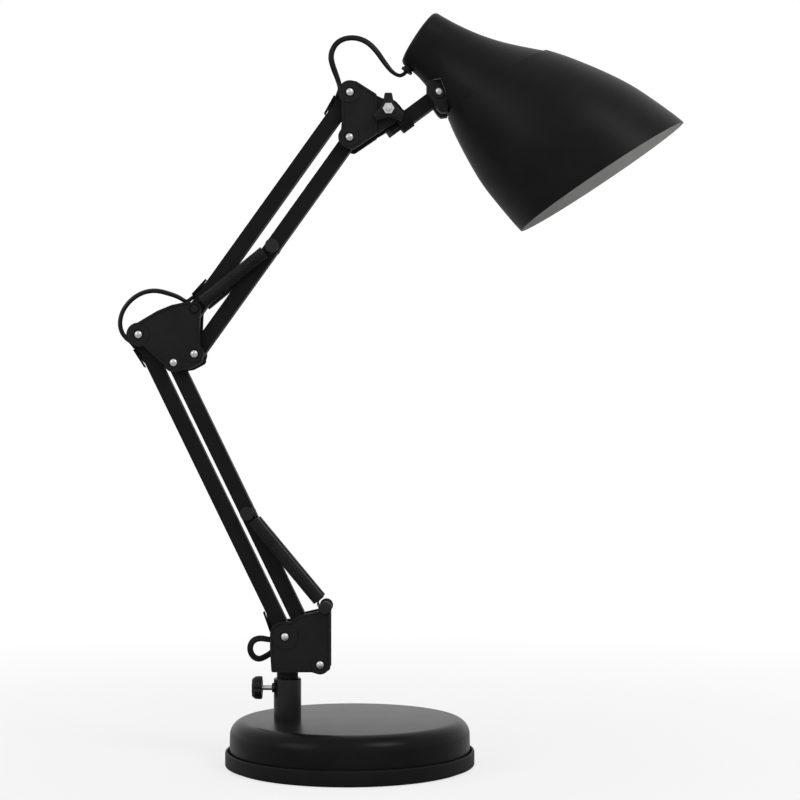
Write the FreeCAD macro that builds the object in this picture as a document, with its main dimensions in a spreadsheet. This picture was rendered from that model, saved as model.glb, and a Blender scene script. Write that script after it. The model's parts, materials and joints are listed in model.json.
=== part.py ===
import FreeCAD
import Part
import math
import os
import Sketcher

# Counterweight balance desk lamp. Millimetres, +Z up, +X right, +Y to the back.
# Origin: centre of the base on the table.

os.makedirs("parts", exist_ok=True)
Vec = FreeCAD.Vector
Turn = FreeCAD.Rotation
doc = FreeCAD.newDocument("BalanceDeskLamp")
sheet = doc.addObject("Spreadsheet::Sheet", "Dims")

SIZES = {
    # base
    "pad_inset": 4.5,
    "pad_thick": 1.5,
    "tray_radius": 99.5,
    "tray_wall": 2.2,
    "tray_floor": 2.5,
    "tray_top": 13.0,
    "rim_step": 3.5,
    "cover_top": 37.5,
    "cover_wall": 1.5,
    "shoulder": 12.0,
    "weight_gap": 4.5,
    "base_screw_inset": 10.0,
    "base_screw_radius": 1.75,
    "base_screw_head": 3.5,
    "base_screw_length": 12.0,
    # stem
    "stem_x": -50.0,
    "stem_radius": 11.0,
    "stem_top": 70.0,
    "stem_thread": 7.9,
    "stem_bore": 5.0,
    "stem_end": 12.0,
    "pin_bore": 7.5,
    "pin_bottom": 46.0,
    "turning_gap": 0.1,
    "neck_radius": 8.5,
    "neck_top": 76.0,
    "cord_bore": 3.6,
    "block_top": 84.0,
    "nut_height": 6.0,
    "nut_radius": 12.7,
    "washer_thick": 1.5,
    "recess_radius": 15.0,
    "recess_top": 21.5,
    "inlet_radius": 3.2,
    "inlet_flange": 4.2,
    "inlet_height": 8.2,
    # thumb screw
    "thumb_height": 62.1,
    "thumb_radius": 9.25,
    "thumb_thick": 8.0,
    "thumb_shank": 2.0,
    "thumb_inner": -70.2,
    "boss_radius": 3.8,
    "boss_reach": 12.3,
    "thumb_ridges": 24.0,
    # arms: pivots in the picture plane
    "mast_x": -51.3,
    "mast_z": 104.2,
    "lower_link_x": 27.9,
    "lower_link_z": -22.2,
    "lower_run_x": -116.25,
    "lower_run_z": 239.65,
    "elbow_step_x": 44.6,
    "elbow_step_z": 20.35,
    "upper_link_x": -0.3,
    "upper_link_z": -35.7,
    "upper_run_x": 123.2,
    "upper_run_z": 172.0,
    "knob_step_x": 31.0,
    "knob_step_z": 21.05,
    "tilt_step_x": 40.1,
    "tilt_step_z": 14.5,
    # bars and plates
    "bar_size": 12.0,
    "bar_wall": 1.0,
    "bar_end": 7.0,
    "sleeve_radius": 3.25,
    "running_gap": 0.05,
    "screw_radius": 1.75,
    "plate_inner": 10.0,
    "plate_thick": 3.5,
    "plate_recess": 0.8,
    "sink_radius": 4.0,
    "sink_depth": 1.3,
    "head_radius": 2.8,
    "head_thick": 1.7,
    "washer_radius": 5.5,
    "washer_slack": 0.05,
    "nut_half": 3.2,
    "nut_thick": 2.4,
    "tongue_start": 9.0,
    "tongue_root": 23.5,
    "tongue_rise": 10.2,
    "tongue_thick": 1.0,
    "tongue_width": 7.0,
    "slot_start": 8.0,
    # springs
    "wire": 1.1,
    "coil_radius": 3.9,
    "coil_offset": 11.6,
    "hook_radius": 3.9,
    "lower_body": 82.0,
    "upper_body": 63.0,
    "lower_turns": 10.0,
    "upper_turns": 8.0,
    "pin_radius": 1.75,
    "pin_cap": 5.5,
    "stud_x": -19.4,
    "stud_z": 127.0,
    # head
    "hub_radius": 9.5,
    "hub_inner": 8.3,
    "hub_thick": 3.2,
    "eye_radius": 7.7,
    "eye_half": 8.0,
    "bolt_radius": 2.5,
    "knob_back": 20.0,
    "lobe_reach": 9.4,
    "lobe_radius": 2.8,
    "barrel_radius": 8.0,
    "barrel_start": 40.5,
    "barrel_end": 30.0,
    "spigot_radius": 4.0,
    "arm_size": 12.0,
    "arm_nut_radius": 4.2,
    "arm_nut_length": 11.3,
    # shade
    "shade_wall": 1.2,
    "mouth_x": 201.4,
    "mouth_z": 470.4,
    "mouth_tilt": 56.7,
    "seam_depth": 107.2,
    "lug_half": 10.5,
    "slot_half": 6.4,
    "lug_deep": 12.0,
    "holder_radius": 17.0,
    "holder_bore": 13.9,
    "socket_radius": 13.2,
    "holder_length": 44.0,
    "holder_x": 86.6,
    "holder_z": 559.6,
    "holder_tilt": 31.26,
    "nipple_radius": 5.0,
    "gland_radius": 3.8,
    "gland_flange": 4.8,
    # cord
    "cord_thick": 3.0,
    "cord_wide": 5.0,
}


def words(item):
    """The formula text of a size or of a plain number."""
    return item.text if isinstance(item, Size) else "%.6f" % float(item)


class Size:
    """A number and the sheet formula that gives it."""

    def __init__(self, value, text):
        self.value = float(value)
        self.text = text

    def __float__(self):
        return self.value

    def __add__(self, other):
        return Size(self.value + float(other), "(%s + %s)" % (self.text, words(other)))

    def __radd__(self, other):
        return Size(float(other) + self.value, "(%s + %s)" % (words(other), self.text))

    def __sub__(self, other):
        return Size(self.value - float(other), "(%s - %s)" % (self.text, words(other)))

    def __rsub__(self, other):
        return Size(float(other) - self.value, "(%s - %s)" % (words(other), self.text))

    def __mul__(self, other):
        return Size(self.value * float(other), "(%s * %s)" % (self.text, words(other)))

    __rmul__ = __mul__

    def __truediv__(self, other):
        return Size(self.value / float(other), "(%s / %s)" % (self.text, words(other)))

    def __neg__(self):
        return Size(-self.value, "(0 - %s)" % self.text)


def fill_sheet():
    sizes = {}
    for row, (name, value) in enumerate(SIZES.items(), 1):
        sheet.set("A%d" % row, name)
        sheet.set("B%d" % row, "%r" % value)
        sheet.setAlias("B%d" % row, name)
    doc.recompute()
    for name in SIZES:
        sizes[name] = Size(float(getattr(sheet, name)), "Dims." + name)
    return sizes


D = fill_sheet()
NODES = {}


def num(name):
    return D[name].value


def node(label, item):
    item.Label = label
    NODES[label] = item
    return item


def bind(item, prop, value):
    if isinstance(value, Size):
        item.setExpression(prop, value.text)
    else:
        setattr(item, prop, value)


# ---- PartDesign helpers


def new_body(label):
    return doc.addObject("PartDesign::Body", label + "_body")


def new_sketch(body, role):
    sketch = body.newObject("Sketcher::SketchObject", body.Name + "_sketch")
    plane = [f for f in body.Origin.OriginFeatures if f.Role == role][0]
    sketch.AttachmentSupport = [(plane, "")]
    sketch.MapMode = "FlatFace"
    return sketch


def tie(sketch, kind, geo, point, value):
    number = sketch.addConstraint(Sketcher.Constraint(kind, -1, 1, geo, point, float(value)))
    if isinstance(value, Size):
        sketch.setExpression("Constraints[%d]" % number, value.text)


def polygon(sketch, points):
    """A closed outline whose corners are tied to the origin by their sizes."""
    first = sketch.GeometryCount
    count = len(points)
    for i in range(count):
        a = points[i]
        b = points[(i + 1) % count]
        line = Part.LineSegment(Vec(float(a[0]), float(a[1]), 0), Vec(float(b[0]), float(b[1]), 0))
        sketch.addGeometry(line, False)
    for i in range(count):
        after = first + (i + 1) % count
        sketch.addConstraint(Sketcher.Constraint("Coincident", first + i, 2, after, 1))
    for i, point in enumerate(points):
        tie(sketch, "DistanceX", first + i, 1, point[0])
        tie(sketch, "DistanceY", first + i, 1, point[1])


def circles(sketch, rings):
    for x, y, radius in rings:
        round_edge = Part.Circle(Vec(float(x), float(y), 0), Vec(0, 0, 1), float(radius))
        geo = sketch.addGeometry(round_edge, False)
        number = sketch.addConstraint(Sketcher.Constraint("Radius", geo, float(radius)))
        if isinstance(radius, Size):
            sketch.setExpression("Constraints[%d]" % number, radius.text)
        tie(sketch, "DistanceX", geo, 3, x)
        tie(sketch, "DistanceY", geo, 3, y)


def curved(sketch, wire):
    """Adds a closed wire of lines and arcs to a sketch."""
    for edge in wire.Edges:
        curve = edge.Curve
        if isinstance(curve, Part.Line):
            a = edge.Vertexes[0].Point
            b = edge.Vertexes[-1].Point
            sketch.addGeometry(Part.LineSegment(a, b), False)
        else:
            sketch.addGeometry(Part.ArcOfCircle(curve, edge.FirstParameter, edge.LastParameter), False)


def pad(body, sketch, length, both=False):
    feature = body.newObject("PartDesign::Pad", body.Name + "_pad")
    feature.Profile = sketch
    bind(feature, "Length", length)
    if both:
        feature.SideType = "Symmetric"
    return feature


def pocket(body, sketch, length=None):
    feature = body.newObject("PartDesign::Pocket", body.Name + "_pocket")
    feature.Profile = sketch
    if length is None:
        feature.Type = "ThroughAll"
    else:
        bind(feature, "Length", length)
    feature.SideType = "Symmetric"
    return feature


def turned(label, points, axis="XZ_Plane"):
    """A body turned about its own Z axis from (radius, height) corners."""
    body = new_body(label)
    sketch = new_sketch(body, axis)
    polygon(sketch, points)
    feature = body.newObject("PartDesign::Revolution", label + "_turn")
    feature.Profile = sketch
    feature.ReferenceAxis = (sketch, ["V_Axis"])
    feature.Angle = 360.0
    return body


# ---- Part helpers


def aim(direction):
    return Turn(Vec(0, 0, 1), Vec(*direction))


def put(item, x, y, z, direction=(0, 0, 1)):
    item.Placement = FreeCAD.Placement(Vec(float(x), float(y), float(z)), aim(direction))
    for axis, value in (("x", x), ("y", y), ("z", z)):
        if isinstance(value, Size):
            item.setExpression("Placement.Base." + axis, value.text)
    return item


def rod(label, radius, length, x, y, z, direction=(0, 1, 0)):
    item = doc.addObject("Part::Cylinder", label)
    bind(item, "Radius", radius)
    bind(item, "Height", length)
    return put(item, x, y, z, direction)


def hexagon(label, radius, length, x, y, z, direction=(0, 1, 0)):
    item = doc.addObject("Part::Prism", label)
    item.Polygon = 6
    bind(item, "Circumradius", radius)
    bind(item, "Height", length)
    return put(item, x, y, z, direction)


def join(label, items):
    item = doc.addObject("Part::MultiFuse", label)
    item.Shapes = items
    item.Refine = True
    return item


def less(label, base, tools):
    item = doc.addObject("Part::Cut", label)
    item.Base = base
    item.Tool = tools[0] if len(tools) == 1 else join(label + "_tools", tools)
    return item


def group(label, items):
    item = doc.addObject("Part::Compound", label + "_set")
    item.Links = items
    return node(label, item)


def raw(label, shape):
    item = doc.addObject("Part::Feature", label)
    item.Shape = shape
    return node(label, item)


def ring(label, outer, inner, length, x, y, z, direction=(0, 1, 0)):
    body = rod(label + "_outer", outer, length, x, y, z, direction)
    hole = rod(label + "_inner", inner, length, x, y, z, direction)
    return less(label, body, [hole])


# ---- paths


def rounded(points, radii, closed=True):
    """A wire through the points with the corners rounded by tangent arcs."""
    edges = []
    count = len(points)
    starts = []
    ends = []
    mids = []
    for i, (point, radius) in enumerate(zip(points, radii)):
        if not closed and i in (0, count - 1):
            starts.append(point)
            ends.append(point)
            mids.append(None)
            continue
        before = (points[i - 1] - point).normalize()
        after = (points[(i + 1) % count] - point).normalize()
        half = before.getAngle(after) / 2
        back = radius / math.tan(half)
        starts.append(point + before * back)
        ends.append(point + after * back)
        inner = (before + after).normalize()
        mids.append(point + inner * (radius / math.sin(half) - radius))
    for i in range(count):
        if mids[i] is not None:
            edges.append(Part.Arc(starts[i], mids[i], ends[i]).toShape())
        if i < count - 1 or closed:
            after = starts[(i + 1) % count]
            if (after - ends[i]).Length > 0.001:
                edges.append(Part.LineSegment(ends[i], after).toShape())
    return Part.Wire(edges)


def outline(corners):
    points = [Vec(x, z, 0) for x, z, r in corners]
    return rounded(points, [r for x, z, r in corners])


# ---- pivots

MAST_L = (D["mast_x"], D["mast_z"])
MAST_R = (MAST_L[0] + D["lower_link_x"], MAST_L[1] + D["lower_link_z"])
ELBOW_L = (MAST_L[0] + D["lower_run_x"], MAST_L[1] + D["lower_run_z"])
ELBOW_R = (MAST_R[0] + D["lower_run_x"], MAST_R[1] + D["lower_run_z"])
ELBOW_T = (ELBOW_L[0] + D["elbow_step_x"], ELBOW_L[1] + D["elbow_step_z"])
ELBOW_B = (ELBOW_T[0] + D["upper_link_x"], ELBOW_T[1] + D["upper_link_z"])
TOP_L = (ELBOW_T[0] + D["upper_run_x"], ELBOW_T[1] + D["upper_run_z"])
TOP_R = (ELBOW_B[0] + D["upper_run_x"], ELBOW_B[1] + D["upper_run_z"])
COVER = D["tray_radius"] - D["rim_step"]
WEIGHT = COVER - D["cover_wall"] - D["weight_gap"]
KNOB = (TOP_R[0] + D["knob_step_x"], TOP_R[1] + D["knob_step_z"])
TILT = (KNOB[0] + D["tilt_step_x"], KNOB[1] + D["tilt_step_z"])
LOWER_MID = (MAST_R[0] + D["lower_run_x"] / 2, MAST_R[1] + D["lower_run_z"] / 2)
UPPER_MID = (ELBOW_B[0] + D["upper_run_x"] / 2, ELBOW_B[1] + D["upper_run_z"] / 2)
STUD = (D["stud_x"], D["stud_z"])
HOLE = D["sleeve_radius"] + D["running_gap"]
FACE = D["plate_inner"] + D["plate_thick"]


def flat(point):
    return Vec(float(point[0]), 0, float(point[1]))


# ---- base


def base():
    floor = D["pad_thick"] + D["tray_floor"]
    foot = D["tray_radius"] - D["pad_inset"]
    pad_body = turned("base_pad", [(0, 0), (foot, 0), (foot, D["pad_thick"]), (0, D["pad_thick"])])
    holes = new_sketch(pad_body, "XY_Plane")
    spots = []
    for k in range(4):
        turn = math.radians(45 + 90 * k)
        reach = WEIGHT - D["base_screw_inset"]
        spots.append((reach * math.cos(turn), reach * math.sin(turn)))
    circles(holes, [(x, y, D["base_screw_head"] + 1) for x, y in spots])
    pocket(pad_body, holes)
    node("base_pad", pad_body)

    inner = D["tray_radius"] - D["tray_wall"]
    tray = turned("base_tray", [(0, D["pad_thick"]), (D["tray_radius"], D["pad_thick"]),
                                (D["tray_radius"], D["tray_top"] - 1),
                                (D["tray_radius"] - 1, D["tray_top"]), (inner, D["tray_top"]),
                                (inner, floor), (0, floor)])
    holes = new_sketch(tray, "XY_Plane")
    circles(holes, [(x, y, D["base_screw_radius"]) for x, y in spots])
    pocket(tray, holes)
    edge = math.sqrt(num("tray_radius") ** 2 - num("stem_x") ** 2)
    inlet = rod("inlet_hole", D["inlet_radius"], 20, D["stem_x"], edge - 15, D["inlet_height"])
    node("base_tray", less("base_tray_cut", tray, [inlet]))

    top = D["cover_top"]
    under = top - D["cover_wall"]
    side = COVER - D["cover_wall"]
    cover = new_body("base_cover")
    sketch = new_sketch(cover, "XZ_Plane")
    low = D["tray_top"]
    curve = math.sqrt(0.5)
    deep = D["shoulder"] * (1 - curve)
    shelf = COVER - 0.5
    arc = [(D["stem_thread"], under), (D["stem_thread"], top), (shelf - D["shoulder"], top),
           (shelf - D["shoulder"] * 0.617, top - D["shoulder"] * 0.076),
           (shelf - deep, top - deep),
           (shelf - D["shoulder"] * 0.076, top - D["shoulder"] * 0.617),
           (shelf, top - D["shoulder"]), (COVER, low), (COVER, floor),
           (side, floor), (side - 0.5, top - D["shoulder"]),
           (side - 0.5 - deep, top - D["cover_wall"] - deep), (side - D["shoulder"], under)]
    polygon(sketch, arc)
    feature = cover.newObject("PartDesign::Revolution", "cover_turn")
    feature.Profile = sketch
    feature.ReferenceAxis = (sketch, ["V_Axis"])
    feature.Angle = 360.0
    return spots, floor, cover, under, edge


def base_rest(spots, floor, cover, under, edge):
    # the stem stands off centre, so its hole is cut, and the turned middle is closed first
    cover.Placement = FreeCAD.Placement()
    middle = rod("cover_middle", D["stem_thread"] + 1, D["cover_wall"], 0, 0, under, (0, 0, 1))
    whole = join("cover_whole", [cover, middle])
    stem_hole = rod("cover_stem_hole", D["stem_thread"] + 0.2, 10, D["stem_x"], 0, under - 4, (0, 0, 1))
    inlet = rod("cover_inlet_hole", D["inlet_radius"], 20, D["stem_x"], edge - 15, D["inlet_height"])
    node("base_cover", less("base_cover_cut", whole, [stem_hole, inlet]))

    weight = turned("base_weight", [(0, floor), (WEIGHT, floor), (WEIGHT, under - 12),
                                    (WEIGHT - 3.5, under - 5.5), (WEIGHT - 10, under), (0, under)])
    ceiling = D["recess_top"]
    recess = rod("weight_recess", D["recess_radius"], ceiling - floor, D["stem_x"], 0, floor, (0, 0, 1))
    bore = rod("weight_bore", D["stem_thread"] + 0.2, 40, D["stem_x"], 0, floor, (0, 0, 1))
    channel = doc.addObject("Part::Box", "weight_channel")
    channel.Length = 8
    bind(channel, "Width", WEIGHT)
    channel.Height = 9
    put(channel, D["stem_x"] - 4, 0, floor)
    screws = []
    for k, (x, y) in enumerate(spots):
        screws.append(rod("weight_tap%d" % k, D["base_screw_radius"], D["base_screw_length"], x, y,
                          D["pad_thick"], (0, 0, 1)))
    node("base_weight", less("base_weight_cut", weight, [recess, bore, channel] + screws))

    fixings = []
    for k, (x, y) in enumerate(spots):
        shank = rod("base_shank%d" % k, D["base_screw_radius"], D["base_screw_length"], x, y,
                    D["pad_thick"], (0, 0, 1))
        head = rod("base_head%d" % k, D["base_screw_head"], 1.2, x, y, D["pad_thick"] - 1.2, (0, 0, 1))
        fixings.append(join("base_screw%d" % k, [shank, head]))
    group("base_screws", fixings)

    tube = turned("stem_tube", [(D["stem_bore"], D["stem_end"]), (D["stem_thread"], D["stem_end"]),
                                (D["stem_thread"], D["cover_top"]), (D["stem_radius"], D["cover_top"]),
                                (D["stem_radius"], D["stem_top"] - 0.8),
                                (D["stem_radius"] - 0.8, D["stem_top"]),
                                (D["pin_bore"], D["stem_top"]), (D["pin_bore"], D["pin_bottom"] - 1),
                                (D["stem_bore"], D["pin_bottom"] - 1)])
    put(tube, D["stem_x"], 0, 0)
    boss = rod("stem_boss", D["boss_radius"], D["boss_reach"] - 8.5, D["stem_x"] - D["boss_reach"], 0,
               D["thumb_height"], (1, 0, 0))
    hole = rod("stem_boss_hole", D["thumb_shank"] + D["running_gap"], D["boss_reach"],
               D["stem_x"] - D["boss_reach"] - 0.5, 0, D["thumb_height"], (1, 0, 0))
    node("stem_tube", less("stem_tube_cut", join("stem_whole", [tube, boss]), [hole]))

    nut_top = num("recess_top") - num("washer_thick")
    washer = ring("stem_washer_ring", D["recess_radius"] - 1, D["stem_thread"], D["washer_thick"],
                  D["stem_x"], 0, nut_top, (0, 0, 1))
    nut = hexagon("stem_nut_hex", D["nut_radius"], D["nut_height"], D["stem_x"], 0,
                  nut_top - num("nut_height"), (0, 0, 1))
    bore = rod("stem_nut_bore", D["stem_thread"], 20, D["stem_x"], 0, 10, (0, 0, 1))
    group("stem_nut", [less("stem_nut_cut", nut, [bore]), washer])

    body = rod("inlet_body", D["inlet_radius"], 12, D["stem_x"], edge - 9, D["inlet_height"])
    flange = rod("inlet_lip", D["inlet_flange"], 2, D["stem_x"], edge + 2.6, D["inlet_height"])
    neck = rod("inlet_neck", D["inlet_radius"], 4, D["stem_x"], edge, D["inlet_height"])
    bore = rod("inlet_bore", 2.65, 20, D["stem_x"], edge - 10, D["inlet_height"])
    node("cord_inlet", less("cord_inlet_cut", join("inlet_whole", [body, neck, flange]), [bore]))


def thumb():
    knob = new_body("thumb_knob")
    sketch = new_sketch(knob, "XY_Plane")
    circles(sketch, [(0, 0, D["thumb_radius"])])
    pad(knob, sketch, D["thumb_thick"])
    cut = new_sketch(knob, "XY_Plane")
    circles(cut, [(D["thumb_radius"] + 0.35, 0, 0.8)])
    groove = knob.newObject("PartDesign::Pocket", "thumb_groove")
    groove.Profile = cut
    groove.Type = "ThroughAll"
    groove.SideType = "Symmetric"
    pattern = knob.newObject("PartDesign::PolarPattern", "thumb_pattern")
    pattern.Originals = [groove]
    pattern.Axis = (cut, ["N_Axis"])
    pattern.Angle = 360.0
    pattern.Occurrences = int(num("thumb_ridges"))
    knob.Tip = pattern
    put(knob, D["thumb_inner"] - D["thumb_thick"], 0, D["thumb_height"], (1, 0, 0))
    node("thumb_knob", knob)
    tip = D["stem_x"] - (D["pin_bore"] - D["turning_gap"]) - 0.3
    rod("thumb_shank", D["thumb_shank"], tip - D["thumb_inner"], D["thumb_inner"], 0,
        D["thumb_height"], (1, 0, 0))
    node("thumb_shank", doc.getObject("thumb_shank"))


def mast():
    pin = turned("mast_pin", [(D["cord_bore"], D["pin_bottom"]),
                              (D["pin_bore"] - D["turning_gap"], D["pin_bottom"]),
                              (D["pin_bore"] - D["turning_gap"], D["stem_top"] + 0.2),
                              (D["neck_radius"], D["stem_top"] + 0.2),
                              (D["neck_radius"], D["neck_top"] + 1),
                              (D["cord_bore"], D["neck_top"] + 1)])
    put(pin, D["stem_x"], 0, 0)
    block = doc.addObject("Part::Box", "mast_block")
    block.Length = 25
    bind(block, "Width", D["plate_inner"] * 2)
    bind(block, "Height", D["block_top"] - D["neck_top"])
    put(block, D["stem_x"] - 9, -D["plate_inner"], D["neck_top"])
    hole = rod("mast_block_hole", D["cord_bore"], 20, D["stem_x"], 0, D["neck_top"] - 2, (0, 0, 1))
    node("mast_pin", less("mast_pin_cut", join("mast_pin_whole", [pin, block]), [hole]))


def plate(label, corners, bosses, holes, sinks, hub=None):
    """A moulded side plate: a core, round bosses, a recessed face, screw holes.
    The hub, where there is one, is a flap that steps in towards the middle."""
    body = new_body(label)
    core = new_sketch(body, "XZ_Plane")
    wire = outline(corners)
    curved(core, wire)
    pad(body, core, D["plate_thick"])
    rings = new_sketch(body, "XZ_Plane")
    for number, (x, z, radius) in enumerate(bosses):
        sketch = rings if number == 0 else new_sketch(body, "XZ_Plane")
        circles(sketch, [(x, z, radius)])
        pad(body, sketch, D["plate_thick"])
    if hub:
        step = D["plate_inner"] - D["hub_inner"]
        for number, shape in enumerate(hub):
            flap = new_sketch(body, "XZ_Plane")
            if number == 0:
                curved(flap, outline(shape))
            else:
                circles(flap, [shape])
            flap.setExpression("AttachmentOffset.Base.z", (-step).text)
            pad(body, flap, D["hub_thick"])
    lowered = new_sketch(body, "XZ_Plane")
    inner = wire.makeOffset2D(-1.8)
    curved(lowered, inner)
    dip = body.newObject("PartDesign::Pocket", label + "_dip")
    dip.Profile = lowered
    bind(dip, "Length", D["plate_recess"] * 2)
    dip.SideType = "Symmetric"
    lowered.AttachmentOffset = FreeCAD.Placement(Vec(0, 0, num("plate_thick")), Turn())
    lowered.setExpression("AttachmentOffset.Base.z", D["plate_thick"].text)
    for x, z, radius in bosses:
        sketch = new_sketch(body, "XZ_Plane")
        circles(sketch, [(x, z, radius - 1.0)])
        pad(body, sketch, D["plate_thick"])
    drill = new_sketch(body, "XZ_Plane")
    circles(drill, holes)
    pocket(body, drill)
    sink = new_sketch(body, "XZ_Plane")
    circles(sink, [(x, z, D["sink_radius"]) for x, z in sinks])
    sink.setExpression("AttachmentOffset.Base.z", D["plate_thick"].text)
    pocket(body, sink, D["sink_depth"] * 2)
    body.Placement = FreeCAD.Placement(Vec(0, -num("plate_inner"), 0), Turn())
    body.setExpression("Placement.Base.y", (-D["plate_inner"]).text)
    return body


def both_plates(stem, body, adds=()):
    near = node(stem + "_plate_near", body)
    far = doc.addObject("Part::Mirroring", stem + "_far")
    far.Source = near
    far.Base = Vec(0, 0, 0)
    far.Normal = Vec(0, 1, 0)
    node(stem + "_plate_far", far)


def fixings(stem, spots, washers):
    screws = []
    nuts = []
    sleeves = []
    discs = []
    floor = FACE - D["sink_depth"]
    for k, (x, z) in enumerate(spots):
        name = "%s%d" % (stem, k)
        shank = rod(name + "_shank", D["screw_radius"], floor * 2 + D["nut_thick"], x, -floor, z)
        head = rod(name + "_head", D["head_radius"], D["head_thick"], x, -(floor + D["head_thick"]), z)
        drive = hexagon(name + "_drive", 1.4, 1.0, x, -(floor + D["head_thick"]), z)
        screws.append(less(name + "_screw", join(name + "_blank", [shank, head]), [drive]))
        nut = hexagon(name + "_nut_hex", D["nut_half"], D["nut_thick"], x, floor, z)
        hole = rod(name + "_nut_hole", D["screw_radius"], D["nut_thick"], x, floor, z)
        nuts.append(less(name + "_nut", nut, [hole]))
        sleeves.append(ring(name + "_sleeve", D["sleeve_radius"], D["screw_radius"],
                            D["plate_inner"] * 2, x, -D["plate_inner"], z))
    for k, (x, z, width) in enumerate(washers):
        name = "%s_disc%d" % (stem, k)
        start = D["bar_size"] / 2 + D["washer_slack"]
        deep = D["plate_inner"] - start if width is None else width
        discs.append(ring(name + "a", D["washer_radius"], D["sleeve_radius"], deep, x, start, z))
        discs.append(ring(name + "b", D["washer_radius"], D["sleeve_radius"], deep, x,
                          -(start + deep), z))
    group(stem + "_screws", screws)
    group(stem + "_nuts", nuts)
    group(stem + "_sleeves", sleeves)
    group(stem + "_washers", discs)


def bar(label, start, end, tongues=False, pin=False):
    """A square tube with rounded ends, its local X from one pivot to the other."""
    run = Vec(float(end[0]) - float(start[0]), 0, float(end[1]) - float(start[1]))
    reach = run.Length
    half = num("bar_size") / 2
    tip = math.sqrt(num("bar_end") ** 2 - half ** 2)
    body = new_body(label)
    side = new_sketch(body, "XZ_Plane")
    end_radius = num("bar_end")
    points = [Vec(-tip, -half, 0), Vec(reach + tip, -half, 0), Vec(reach + tip, half, 0),
              Vec(-tip, half, 0)]
    edges = [Part.LineSegment(points[0], points[1]).toShape(),
             Part.Arc(points[1], Vec(reach + end_radius, 0, 0), points[2]).toShape(),
             Part.LineSegment(points[2], points[3]).toShape(),
             Part.Arc(points[3], Vec(-end_radius, 0, 0), points[0]).toShape()]
    curved(side, Part.Wire(edges))
    pad(body, side, D["bar_size"], True)
    inner = D["bar_size"] / 2 - D["bar_wall"]
    hollow = new_sketch(body, "YZ_Plane")
    polygon(hollow, [(-inner, -inner), (inner, -inner), (inner, inner), (-inner, inner)])
    pocket(body, hollow)
    holes = new_sketch(body, "XZ_Plane")
    rings = [(0, 0, HOLE), (reach, 0, HOLE)]
    if pin:
        rings.append((reach / 2, 0, D["pin_radius"]))
    circles(holes, rings)
    pocket(body, holes)
    if tongues:
        ends = ((0, 1), (reach, -1))
        cut = new_sketch(body, "XZ_Plane")
        wall = D["bar_size"] / 2
        for base, way in ends:
            a = base + way * D["slot_start"]
            b = base + way * (D["tongue_root"] - 0.6)
            polygon(cut, [(a, wall - D["bar_wall"] - 0.5), (b, wall - D["bar_wall"] - 0.5),
                          (b, wall + 0.5), (a, wall + 0.5)])
        pocket(body, cut, D["tongue_width"])
        for base, way in ends:
            tab = new_sketch(body, "XZ_Plane")
            a = base + way * D["tongue_start"]
            b = base + way * D["tongue_root"]
            c = base + way * (D["tongue_root"] + 1.5)
            polygon(tab, [(a, D["tongue_rise"] - D["tongue_thick"]), (b, wall - D["bar_wall"]),
                          (c, wall - D["bar_wall"]), (c, wall), (b, wall), (a, D["tongue_rise"])])
            pad(body, tab, D["tongue_width"], True)
    turn = Turn(Vec(1, 0, 0), run)
    body.Placement = FreeCAD.Placement(flat(start), turn)
    for axis, value in (("x", start[0]), ("z", start[1])):
        body.setExpression("Placement.Base." + axis, value.text)
    return node(label, body)


def cross_pin(label, spot):
    reach = D["coil_offset"] + 1.5
    shank = rod(label + "_shank", D["pin_radius"], reach * 2, spot[0], -reach, spot[1])
    caps = [rod(label + "_cap0", D["pin_cap"], 1.0, spot[0], -(reach + 1.0), spot[1]),
            rod(label + "_cap1", D["pin_cap"], 1.0, spot[0], reach, spot[1])]
    collars = []
    edge = D["bar_size"] / 2
    for k, place in enumerate((-(edge + 0.9), edge)):
        collars.append(rod("%s_collar%d" % (label, k), 2.8, 0.9, spot[0], place, spot[1]))
    node(label, join(label + "_whole", [shank] + caps + collars))


def studs():
    items = []
    for k, way in enumerate((-1, 1)):
        inner = 6.4
        length = FACE - inner
        base = -FACE if way < 0 else D["plate_inner"] * 0 + inner
        shank = rod("stud_shank%d" % k, D["pin_radius"], length, STUD[0], base, STUD[1])
        cap = rod("stud_cap%d" % k, 3.2, 1.2, STUD[0], -(FACE + 1.2) if way < 0 else FACE, STUD[1])
        lip = rod("stud_lip%d" % k, 2.6, 0.6, STUD[0], -7.0 if way < 0 else 6.4, STUD[1])
        items.append(join("stud%d" % k, [shank, cap, lip]))
    group("lower_spring_studs", items)


# ---- springs


def arc_edge(a, corner, b):
    """The arc from a to b whose end tangents meet at the corner."""
    chord = (a + b) * 0.5
    rise = corner - chord
    half = (b - a).Length / 2
    if rise.Length < 1e-9:
        return Part.LineSegment(a, b).toShape()
    angle = 2 * math.atan2(rise.Length, half)
    sag = half * math.tan(angle / 4)
    return Part.Arc(a, chord + rise.normalize() * sag, b).toShape()


def biarc(p, t, q, u):
    v = q - p
    both = t + u
    k = 2 * (1 - t.dot(u))
    vb = v.dot(both)
    if k < 1e-9:
        d = v.dot(v) / (4 * v.dot(u))
    else:
        d = (-vb + math.sqrt(vb * vb + k * v.dot(v))) / k
    m = p + t * d
    n = q - u * d
    mid = (m + n) * 0.5
    return [arc_edge(p, m, mid), arc_edge(mid, n, q)]


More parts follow.
